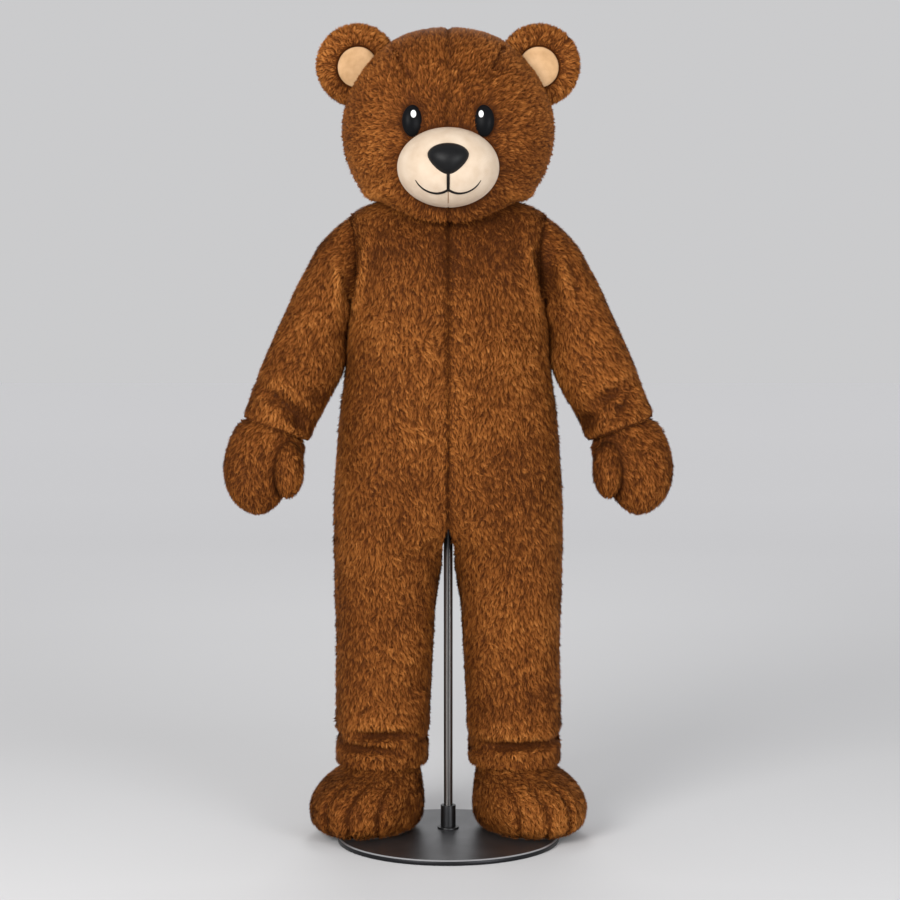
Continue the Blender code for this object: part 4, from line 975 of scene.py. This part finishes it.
# head: rings from the crown to the neck opening
HeadRing = namedtuple("HeadRing", "z halfWidth front back drop")
headRings = rowsOf(HeadRing, [
    (1.8915, -0.0553, -0.05, -0.05, 0), (1.896, 0, 0, 0, 0), (1.8915, 0.0553, 0.05, 0.05, 0),
    (1.876, 0.1085, 0.1, 0.101, 0), (1.847, 0.1545, 0.147, 0.15, 0), (1.806, 0.1935, 0.183, 0.189, 0),
    (1.756, 0.2255, 0.206, 0.213, 0), (1.704, 0.243, 0.217, 0.224, 0), (1.652, 0.2475, 0.22, 0.226, 0.002),
    (1.606, 0.2416, 0.217, 0.219, 0.006), (1.568, 0.2292, 0.209, 0.206, 0.012),
    (1.538, 0.2144, 0.196, 0.189, 0.024), (1.514, 0.1946, 0.179, 0.168, 0.049),
    (1.504, 0.1719, 0.158, 0.147, 0.068), (1.507, 0.1492, 0.139, 0.129, 0.054),
    (1.517, 0.1304, 0.114, 0.112, 0.01),
])
# its size, then its seams and jowls, and how the pile hangs, parts and runs short
headSet = {
    "middleY": 0.055, "rounding": 2.12, "columns": 144, "rowsEach": 6, "wall": 0.012, "hiddenDepth": 0.013,
    "faceMiddle": (0.0, -0.26, 1.585), "partReach": 0.012, "crown": 1.78, "chin": 1.5, "nape": 0.1,
    "seamDip": 0.004, "seamReach": 0.006, "crownSeam": (1.8, 1.88), "napeSeam": (0.05, 0.12),
    "jowl": 0.009, "jowlAt": 1.505, "jowlReach": 0.014, "jowlFrom": (0.1, 0.145), "neckShort": (2.2, 1.2),
    "hang": (0.15, 0.75), "hangFrom": (-0.02, 0.2), "parting": 0.8, "pile": 0.92, "seamCut": 0.3,
    "dartCut": 0.5, "dartFull": 0.011, "dartsTo": 0.02, "neckCut": 0.92, "bareUnder": (0.8, 0.9),
    "weld": 0.0008,
}
# forehead darts and the crease below each: start, end, reach and depth, given for the wearer's left
foreheadDarts = [
    ((0.127, 1.842), (0.103, 1.782), 0.0042, 0.0115), ((0.12, 1.772), (0.08, 1.758), 0.0055, 0.007),
]


def headPoints(ring):
    points = []
    for i in range(headSet["columns"] + 1):
        angle = 2 * pi * i / headSet["columns"]
        reach = ring.front if cos(angle) > 0 else ring.back
        x = ring.halfWidth * rounded(sin(angle), headSet["rounding"])
        y = headSet["middleY"] - reach * rounded(cos(angle), headSet["rounding"])
        points.append((x, y, ring.z - ring.drop * max(cos(angle), 0.0) ** 2))
    return points


def dartLift(points):
    total = np.zeros(points.shape[:2])
    x, z = np.abs(points[..., 0]), points[..., 2]
    for (x0, z0), (x1, z1), reach, depth in foreheadDarts:
        along = np.array([x1 - x0, z1 - z0])
        share = np.clip(((x - x0) * along[0] + (z - z0) * along[1]) / (along @ along), 0, 1)
        away = np.hypot(x - x0 - share * along[0], z - z0 - share * along[1])
        total -= depth * np.exp(-((away / reach) ** 2)) * (points[..., 1] < headSet["dartsTo"])
    return total


def makeHead():
    s, last = headSet, len(headRings) - 1
    places = np.linspace(1, last, (last - 1) * s["rowsEach"] + 1)
    points = np.array([headPoints(alongRows(headRings, place)) for place in places])
    points[0] = points[0, 0]
    x, y, z = points[..., 0], points[..., 1], points[..., 2]
    fromFace = unit(points - np.array(s["faceMiddle"]))
    hang = s["hang"][0] + s["hang"][1] * smooth(y, *s["hangFrom"])
    gravity = np.array([0, 0, -1.0]) * hang[..., None]
    centre = np.exp(-np.abs(x) / s["partReach"]) * ((z > s["crown"]) | (z < s["chin"]) | (y > s["nape"]))
    parting = np.stack([np.sign(x) * centre * s["parting"], 0 * x, 0 * x], axis=-1)
    flow = unit(fromFace + gravity + parting)
    shown = np.maximum(smooth(z, *s["crownSeam"]), np.maximum(smooth(y, *s["napeSeam"]), z < s["chin"]))
    seam = np.exp(-((x / s["seamReach"]) ** 2)) * shown
    jowl = s["jowl"] * np.exp(-(((z - s["jowlAt"]) / s["jowlReach"]) ** 2))
    jowl = jowl * smooth(np.abs(x), *s["jowlFrom"])
    darts = dartLift(points)
    lift = darts - s["seamDip"] * seam + jowl
    turned = np.arange(len(points))[:, None] * np.ones(points.shape[1])
    inner = smooth(turned, *((last - rings) * s["rowsEach"] for rings in s["neckShort"]))
    toMuzzle = (points - np.array(muzzleSet["middle"])) / np.array(muzzleSet["size"])
    inside = fallen(np.linalg.norm(toMuzzle, axis=-1), *s["bareUnder"])
    inDarts = np.minimum(np.abs(darts) / s["dartFull"], 1)
    grow = (s["pile"] - s["seamCut"] * seam - s["dartCut"] * inDarts) * (1 - s["neckCut"] * inner)
    grow = np.maximum(grow, 0) * (1 - inside)
    step = s["columns"] // 4
    grids = []
    for i, name in enumerate(("front.left", "back.left", "back.right", "front.right")):
        own = slice(i * step, (i + 1) * step + 1)
        grids.append(newGrid(f"head.{name}", points[:, own], lift[:, own], flow[:, own], grow[:, own]))
    return grids


# ears: thick stuffed discs with a sunken front, and a fleece pad in each
earSet = {
    "middle": (0.2125, 0.06, 1.8105), "radius": 0.0965, "halfThick": 0.032, "rimInner": 0.0485,
    "recess": 0.014, "turn": radians(8.0), "columns": 56, "inset": 0.0025, "crown": (0.86, 0.09),
    "rimPile": (0.048, 0.07), "pile": (0.45, 0.55), "lean": (0, 0.25, -0.1), "gap": 0.0003,
    "padRadius": 0.047, "padThick": 0.01, "padEdge": 0.003, "padInwards": 0.005, "padDown": 0.007,
}


# radius, height and share of the pad's shift, from the back's middle round the rim to the front's
def earProfile():
    thick, inner = earSet["halfThick"], earSet["rimInner"]
    rimMiddle, rimHalf = (earSet["radius"] + inner) / 2, (earSet["radius"] - inner) / 2
    flat, dome = earSet["crown"]
    back = [(inner * i / 4, thick * (flat + dome * (i / 4) ** 2), 0) for i in range(5)]
    rim = [(rimMiddle + rimHalf * cos(radians(a)), thick * sin(radians(a)), fallen(a, -90, -45))
           for a in range(75, -76, -15)]
    floor = -thick + earSet["recess"]
    front = [(inner + 0.008, -thick * 0.92, 1), (inner + 0.003, -thick * 0.86, 1), (inner, -thick + 0.007, 1),
             (inner - 0.0005, floor, 1), (inner * 0.5, floor, 1), (0.0, floor, 1)]
    return back + rim + front


def padProfile():
    top = -earSet["halfThick"] + earSet["recess"] - earSet["gap"]
    radius, thick, edge = earSet["padRadius"], earSet["padThick"], earSet["padEdge"]
    crown = [(radius * cos(radians(a)) ** 0.7, top - edge - (thick - edge) * sin(radians(a)), 1)
             for a in range(0, 90, 9)]
    back = [(0.0, top, 1), (radius - 0.004, top, 1), (radius - 0.001, top - 0.001, 1)]
    return back + crown + [(0.0, top - thick, 1)]


# a profile of radius, height and share of a shift, turned about its own Z axis and put in place
def turnedGrid(piece, profile, place, columns, shift=(0, 0)):
    turns = [2 * pi * i / columns for i in range(columns)]
    points = np.array([[(r * cos(t) + shift[0] * share, r * sin(t) + shift[1] * share, h) for t in turns]
                       for r, h, share in profile])
    matrix = np.array(place)
    points = points @ matrix[:3, :3].T + matrix[:3, 3]
    zero = np.zeros(points.shape[:2])
    return newGrid(piece, points, zero, downRows(points), zero + 1.0, closed=True)


def earPlace(sign):
    x, y, z = earSet["middle"]
    upright = Matrix.Rotation(-pi / 2, 4, "X")
    return Matrix.Translation((x * sign, y, z)) @ Matrix.Rotation(earSet["turn"] * sign, 4, "Z") @ upright


def makeEars(headSurface):
    ears, pads = {}, {}
    for side, sign in sides.items():
        shift = (-earSet["padInwards"] * sign, earSet["padDown"])
        grid = turnedGrid(f"ear.{side}", earProfile(), earPlace(sign), earSet["columns"], shift)
        out = grid["points"] - np.array(earPlace(sign).translation)
        grid["flow"] = unit(unit(out) + np.array(earSet["lean"]))
        short, more = earSet["pile"]
        grid["grow"] = short + more * smooth(np.linalg.norm(out, axis=-1), *earSet["rimPile"])
        ears.update(stitch([grid], 0, earSet["inset"]))
        pad = turnedGrid(f"ear.pad.{side}", padProfile(), earPlace(sign), earSet["columns"], shift)
        pads.update(stitch([pad], 0, 0.0, looks["tanFleece"]))
        openInside(ears[f"ear.{side}"], headSurface)
        openInside(pads[f"ear.pad.{side}"], headSurface)
    return ears, pads


# face: muzzle, nose, eyes and mouth
muzzleSet = {"middle": (0.0, -0.148, 1.5575), "size": (0.1145, 0.092, 0.0895), "rows": 64, "columns": 96,
             "seamDepth": 0.0014, "seamReach": 0.0022, "seamTop": (1.5, 1.52)}
noseSet = {"middle": (0.0, -0.222, 1.569), "size": (0.05, 0.035, 0.037), "rows": 32, "columns": 48,
           "taper": 0.3, "widest": 0.35}
eyeSet = {"middle": (0.0785, -0.147, 1.661), "size": (0.0256, 0.018, 0.0364), "rows": 32, "columns": 48,
          "turn": radians(17.0)}
# the mouth's threads: places across and up on the muzzle, each with the thread's half thickness
mouthSet = {
    "line": [((0.0, 1.556), 0.0034), ((0.0, 1.535), 0.0034), ((0.0, 1.517), 0.0034), ((0.0, 1.502), 0.0032)],
    "smile": [((0.0015, 1.502), 0.0032), ((0.0155, 1.4965), 0.0028), ((0.029, 1.4958), 0.0026),
              ((0.049, 1.5018), 0.0022), ((0.064, 1.513), 0.0018), ((0.0725, 1.5246), 0.001)],
    "chin": [((0.0, 1.4985), 0.0008), ((0.0, 1.49), 0.0008), ((0.0, 1.482), 0.0008), ((0.0, 1.476), 0.0008)],
    "proud": 0.15, "offSeam": 0.0006,
}


def makeMuzzle(headSurface):
    columns = muzzleSet["columns"]
    grid = ballGrid("muzzle", muzzleSet["middle"], muzzleSet["size"], muzzleSet["rows"], columns)
    x, z = grid["points"][..., 0], grid["points"][..., 2]
    below = fallen(z, *muzzleSet["seamTop"])
    grid["lift"] = -muzzleSet["seamDepth"] * np.exp(-((x / muzzleSet["seamReach"]) ** 2)) * below
    grids = []
    for side, part in (("left", slice(0, columns // 2 + 1)), ("right", slice(columns // 2, columns + 1))):
        own = (grid[key][:, part] for key in ("points", "lift", "flow", "grow"))
        grids.append(newGrid(f"muzzle.{side}", *own))
    made = stitch(grids, 0, 0.0, looks["creamFleece"], pull=0.0)
    for piece in made.values():
        openInside(piece, headSurface)
    return made


def makeNose():
    grid = ballGrid("nose", noseSet["middle"], noseSet["size"], noseSet["rows"], noseSet["columns"])
    rise = (grid["points"][..., 2] - noseSet["middle"][2]) / noseSet["size"][2] - noseSet["widest"]
    grid["points"][..., 0] *= 1 + noseSet["taper"] * rise * np.where(rise > 0, 0.5, 1)
    return stitch([grid], 0, 0.0, looks["noseBlack"])


def glintMaterial(side, glint):  # gloss black with a printed white highlight
    made, make, shader = newMaterial(f"eyeGloss.{side}", {"Roughness": 0.4, "Specular IOR Level": 0.05})
    spot = make.mapped({"Location": glint["middle"], "Scale": glint["size"]}, "TEXTURE")
    stops = [(0.0, (0.92, 0.92, 0.92)), (0.94, (0.9, 0.9, 0.9)), (1.0, (0.0048, 0.005, 0.0058))]
    make.give(shader, {"Base Color": make.ramp(make.vector("LENGTH", spot), stops)})
    make.grain(shader, make.noise(500, 2.0), 0.15, 0.0002, (0.34, 0.44))
    return made


eyeGlints = {
    "right": {"middle": (-0.0775, -0.166, 1.6755), "size": (0.0062, 0.03, 0.0088)},
    "left": {"middle": (0.0735, -0.166, 1.6755), "size": (0.0056, 0.03, 0.0082)},
}


def makeEyes(headSurface):
    made = {}
    for side, sign in sides.items():
        x, y, z = eyeSet["middle"]
        grid = ballGrid(f"eye.{side}", (x * sign, y, z), eyeSet["size"], eyeSet["rows"], eyeSet["columns"],
                        -eyeSet["turn"] * sign)
        made.update(stitch([grid], 0, 0.0, glintMaterial(side, eyeGlints[side])))
        openInside(made[f"eye.{side}"], headSurface)
    return made


def threadTube(name, path, surface, material):  # a tapering thread laid on a surface as seen from the front
    curve = bpy.data.curves.new(name, "CURVE")
    curve.dimensions = "3D"
    curve.bevel_depth = 1.0
    curve.bevel_resolution = 3
    curve.use_fill_caps = True
    spline = curve.splines.new("BEZIER")
    spline.bezier_points.add(len(path) - 1)
    for point, ((x, z), half) in zip(spline.bezier_points, path):
        hit = surface.ray_cast(Vector((x + mouthSet["offSeam"], -1.0, z)), Vector((0, 1, 0)))
        point.co = (x, hit[0].y - half * mouthSet["proud"], z)
        point.radius = half
        point.handle_left_type = point.handle_right_type = "AUTO"
    spline.resolution_u = 8
    drawn = placed(name, curve)
    mesh = evaluated(drawn)
    bpy.data.objects.remove(drawn, do_unlink=True)
    mesh.materials.clear()
    mesh.materials.append(material)
    mesh.polygons.foreach_set("use_smooth", [True] * len(mesh.polygons))
    return placed(name, mesh)


def makeMouth(muzzles):
    shape = bmesh.new()
    for piece in muzzles.values():
        shape.from_mesh(piece.data)
    surface = BVHTree.FromBMesh(shape)
    shape.free()
    mirrored = [((-x, z), half) for (x, z), half in mouthSet["smile"]]
    threads = {"mouth.line": (mouthSet["line"], "mouthThread"),
               "mouth.left": (mouthSet["smile"], "mouthThread"),
               "mouth.right": (mirrored, "mouthThread"),
               "muzzle.seam": (mouthSet["chin"], "seamThread")}
    return [threadTube(name, path, surface, looks[look]) for name, (path, look) in threads.items()]


# stand: base plate, flanged collar and pole
standSet = {
    "baseRadius": 0.26, "baseThick": 0.012, "baseBevel": 0.004, "poleRadius": 0.0105, "poleY": 0.055,
    "flangeRadius": 0.0255, "flangeThick": 0.004, "collarRadius": 0.018, "collarTop": 0.068,
    "poleTop": 1.4537, "gap": 0.0003, "edge": 0.001,
}


def lathe(name, profile, middle, look, columns):
    unshifted = [(radius, height, 0) for radius, height in profile]
    grid = turnedGrid(name, unshifted, Matrix.Translation(middle), columns)
    made = stitch([grid], 0, 0.0, looks[look])[name]
    made.data.set_sharp_from_angle(angle=radians(30))
    return made


def arcCorner(x, z, start, end, steps=4):
    radius = standSet["edge"]
    angles = [radians(start + (end - start) * i / steps) for i in range(steps + 1)]
    return [(x + radius * cos(a), z + radius * sin(a)) for a in angles]


def makeStand():
    s = standSet
    bevel, top, edge = s["baseBevel"], s["baseThick"], s["edge"]
    base = [(0, top), (s["baseRadius"] - bevel, top), (s["baseRadius"] - 0.0004, top - bevel * 0.8),
            (s["baseRadius"], top - bevel), *arcCorner(s["baseRadius"] - edge, edge, 0, -90, 2), (0, 0)]
    foot, hole = top + s["gap"], s["poleRadius"] + s["gap"]
    shoulder = foot + s["flangeThick"]
    collar = [(hole, s["collarTop"]), *arcCorner(s["collarRadius"] - edge, s["collarTop"] - edge, 90, 0),
              (s["collarRadius"], shoulder + edge), (s["collarRadius"] + edge, shoulder),
              *arcCorner(s["flangeRadius"] - edge, shoulder - edge, 90, 0),
              (s["flangeRadius"], foot), (hole, foot), (hole, s["collarTop"])]
    pole = [(0, s["poleTop"]), (s["poleRadius"], s["poleTop"]), (s["poleRadius"], foot), (0, foot)]
    return {"stand.base": lathe("stand.base", base, (0, 0, 0), "plateSteel", 160),
            "stand.collar": lathe("stand.collar", collar, (0, s["poleY"], 0), "collarSteel", 64),
            "stand.pole": lathe("stand.pole", pole, (0, s["poleY"], 0), "poleSteelPaintedStreaks", 48)}


# back zip: tape and two rows of teeth
zipSet = {
    "top": 1.528, "foot": 0.935, "halfWidth": 0.0038, "rowStep": 0.012, "wall": 0.0012, "inset": 0.0045,
    "pitch": 0.0042, "tooth": (0.003, 0.0016, 0.0017), "apart": 0.0022, "sunk": 0.003,
}


def zipTree():
    tree = bpy.data.node_groups.new("zipTeeth", "GeometryNodeTree")
    make = NodeMaker(tree)
    given = make.opened([("Pitch", "Float"), ("Tooth", "Vector"), ("Finish", "Material")])
    path = make.add("GeometryNodeMeshToCurve", {"Mesh": given["Geometry"]}).outputs[0]
    spread = {"Curve": path, "Length": given["Pitch"]}
    points = make.add("GeometryNodeResampleCurve", spread, mode="LENGTH").outputs[0]
    order = make.add("GeometryNodeInputIndex").outputs[0]
    odd = make.math("SUBTRACT", make.math("MODULO", order, 2.0), 0.5)
    shift = make.add("ShaderNodeCombineXYZ", {0: make.math("MULTIPLY", odd, zipSet["apart"])}).outputs[0]
    points = make.add("GeometryNodeSetPosition", {"Geometry": points, "Offset": shift}).outputs[0]
    tooth = make.add("GeometryNodeMeshCube", {"Size": given["Tooth"]}).outputs["Mesh"]
    laid = make.add("GeometryNodeInstanceOnPoints", {"Points": points, "Instance": tooth}).outputs[0]
    make.closed(make.add("GeometryNodeRealizeInstances", {"Geometry": laid}).outputs[0], given["Finish"])
    return tree


def makeZip():
    finish, half = looks["zipTape"], zipSet["halfWidth"]
    rows = []
    for z in heightsBetween([zipSet["top"], zipSet["foot"]], zipSet["rowStep"]):
        row = sectionAt(suitSections, "z", z)
        rows.append([(x, row.centreY + row.back, z) for x in (half, 0.0, -half)])
    points = np.array(rows)
    zero = np.zeros(points.shape[:2])
    grid = newGrid("suit.zip", points, zero, downRows(points), zero)
    tape = stitch([grid], zipSet["wall"], zipSet["inset"], finish, finish)["suit.zip"]
    line = bpy.data.meshes.new("zip.line")
    middle = [(0.0, y - zipSet["sunk"], z) for _, (_, y, z), _ in rows]
    line.from_pydata(middle, [(i, i + 1) for i in range(len(middle) - 1)], [])
    teeth = placed("suit.zip.teeth", line)
    inputs = {"Pitch": zipSet["pitch"], "Tooth": zipSet["tooth"], "Finish": finish}
    teeth.data = runNodes(teeth, zipTree(), inputs)
    return tape, teeth


# put together
suitGrids, armholeBorders = makeSuit()
sewn = stitch(suitGrids + makeSleeves(armholeBorders), suitSet["wall"])
sewn.update(stitch(makeMittens(), mittenSet["wall"]))
sewn.update(makeThumbs())
sewn.update(stitch(makeBoots(), bootSet["wall"]))
print("suit, mittens and boots sewn")
headGrids = makeHead()
headOuter = stitch(headGrids, 0, 0.0)
allHead = bmesh.new()
for piece in headOuter.values():
    allHead.from_mesh(piece.data)
    bpy.data.objects.remove(piece, do_unlink=True)
bmesh.ops.remove_doubles(allHead, verts=allHead.verts, dist=headSet["weld"])
headSurface = BVHTree.FromBMesh(allHead)
allHead.free()
heads = stitch(headGrids, headSet["wall"], inner=looks["headFoam"])
ears, pads = makeEars(headSurface)
muzzles, noses, eyes = makeMuzzle(headSurface), makeNose(), makeEyes(headSurface)
mouth = makeMouth(muzzles)
stands = makeStand()
tape, teeth = makeZip()
print("head, face, zip and stand made")


def joined(name, objects):  # one mesh of several pieces' outer sides, for the fur to keep clear of
    shape = bmesh.new()
    for piece in objects:
        shape.from_mesh(piece.data)
    bmesh.ops.delete(shape, geom=[face for face in shape.faces if face.material_index], context="FACES")
    mesh = bpy.data.meshes.new(name)
    shape.to_mesh(mesh)
    shape.free()
    return placed(name, mesh)


def forPiece(table, name, other):  # the value whose key the piece's name starts with
    return next((value for start, value in table.items() if name.startswith(start)), other)


hands = ("mitten.back", "mitten.palm")
faceParts = joined("faceParts", [*muzzles.values(), *eyes.values(), *ears.values()])
padParts = joined("padParts", list(pads.values()))
handParts = joined("handParts", [piece for name, piece in sewn.items() if name.startswith(hands)])
thumbParts = joined("thumbParts", [piece for name, piece in sewn.items() if name.startswith("mitten.thumb")])
clearOf = {"head": faceParts, "ear": padParts, "mitten.thumb": handParts, "mitten": thumbParts}
# the ears' pile is made lighter (Tone), partly its own colour and partly painted highlight for the light on
# their rims
furChanges = {"head": {"Length": 0.0108}, "ear": {"Length": 0.0104, "Clump": 0.45, "Tone": 0.22},
              "mitten": {"Tone": -0.05}}
furred = {**sewn, **heads, **ears}
furs = {}
for number, (name, shell) in enumerate(furred.items()):
    clear, changes = forPiece(clearOf, name, None), forPiece(furChanges, name, {})
    furs[name] = growFur(name + ".fur", shell, number + 1, clear, changes)
for spare in (faceParts, padParts, handParts, thumbParts, lock):
    bpy.data.objects.remove(spare, do_unlink=True)
print("fur grown, triangles", sum(len(grown.data.polygons) for grown in furs.values()))


def settle(piece, node):
    if node:
        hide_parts(node)
    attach(piece, "root")


for name, shell in furred.items():
    settle(shell, name.replace(".", "_"))
    settle(furs[name], None)
for side in sides:
    settle(pads[f"ear.pad.{side}"], f"ear_pad_{side}")
    settle(muzzles[f"muzzle.{side}"], f"muzzle_{side}")
    settle(eyes[f"eye.{side}"], f"eye_{side}")
settle(noses["nose"], "nose")
for piece in mouth:
    settle(piece, None)
settle(tape, "suit_zip")
settle(teeth, None)
for name in ("base", "collar", "pole"):
    settle(stands[f"stand.{name}"], f"stand_{name}")
carried = {"stand_yoke": "poleSteelPaintedStreaks", "stand_head_rest": "poleSteelPaintedStreaks", "boot_sole_left": "soleRubber",
           "boot_sole_right": "soleRubber"}
for name, look in carried.items():
    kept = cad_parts[name]
    if not kept.material_slots:
        kept.data.materials.append(looks[look])
    for slotted in kept.material_slots:
        slotted.material = looks[look]

# floor and light: the floor's shades lie at shares of its reach from below the lamps, and fade evenly
floorSet = {
    "reach": 30.0, "half": 45.0, "down": 0.0002, "blue": 1.01, "lampsFoot": (0.0, -4.0, 0.0),
    "shades": [(0.0, 0.3), (0.067, 0.36), (0.1, 0.52), (0.12, 0.6), (0.15, 0.59), (0.178, 0.575),
               (0.214, 0.61), (0.246, 0.65), (0.287, 0.725), (0.343, 0.85), (0.4, 0.935), (0.477, 0.97),
               (0.59, 0.98), (0.8, 1.0)],
}
Lamp = namedtuple("Lamp", "place aim size power colour")
lamps = {
    "key": Lamp((-2.3, -4.0, 2.3), (0, 0, 0.8), 2.4, 200, (1.0, 0.985, 0.965)),
    "fill": Lamp((2.9, -3.8, 1.3), (0, 0, 0.8), 2.4, 128, (0.98, 0.99, 1.0)),
    "back": Lamp((0.0, 3.8, 4.6), (0, 0, 1.2), 2.0, 70, (1, 1, 1)),
}
worldLight = {"Color": (0.985, 0.985, 1.0, 1.0), "Strength": 0.605}


def makeFloor():
    s = floorSet
    paper, make, shader = newMaterial("floorPaper", {"Roughness": 0.9, "Specular IOR Level": 0.1})
    own = make.mapped({"Location": s["lampsFoot"], "Scale": (s["reach"], s["reach"], s["reach"])}, "TEXTURE")
    stops = [(place, (shade, shade, shade * s["blue"])) for place, shade in s["shades"]]
    make.give(shader, {"Base Color": make.ramp(make.vector("LENGTH", own), stops)})
    square = np.array([(-1, -1, 0), (1, -1, 0), (1, 1, 0), (-1, 1, 0)])
    corners = square * s["half"] - np.array([0, 0, s["down"]])
    meshFrom("floor", corners, [[0, 1, 2, 3]], [paper])


def addLamp(name, lamp):
    made = bpy.data.lights.new(name, "AREA")
    made.shape, made.size, made.energy, made.color = "DISK", lamp.size, lamp.power, lamp.colour
    hung = placed(name, made)
    hung.location = lamp.place
    hung.rotation_euler = (Vector(lamp.aim) - Vector(lamp.place)).to_track_quat("-Z", "Y").to_euler()


makeFloor()
for name, lamp in lamps.items():
    addLamp(name, lamp)
world = bpy.data.worlds.new("studio")
bpy.context.scene.world = world
world.use_nodes = True
NodeMaker(world.node_tree).give(world.node_tree.nodes["Background"], worldLight)

print("stage lit")
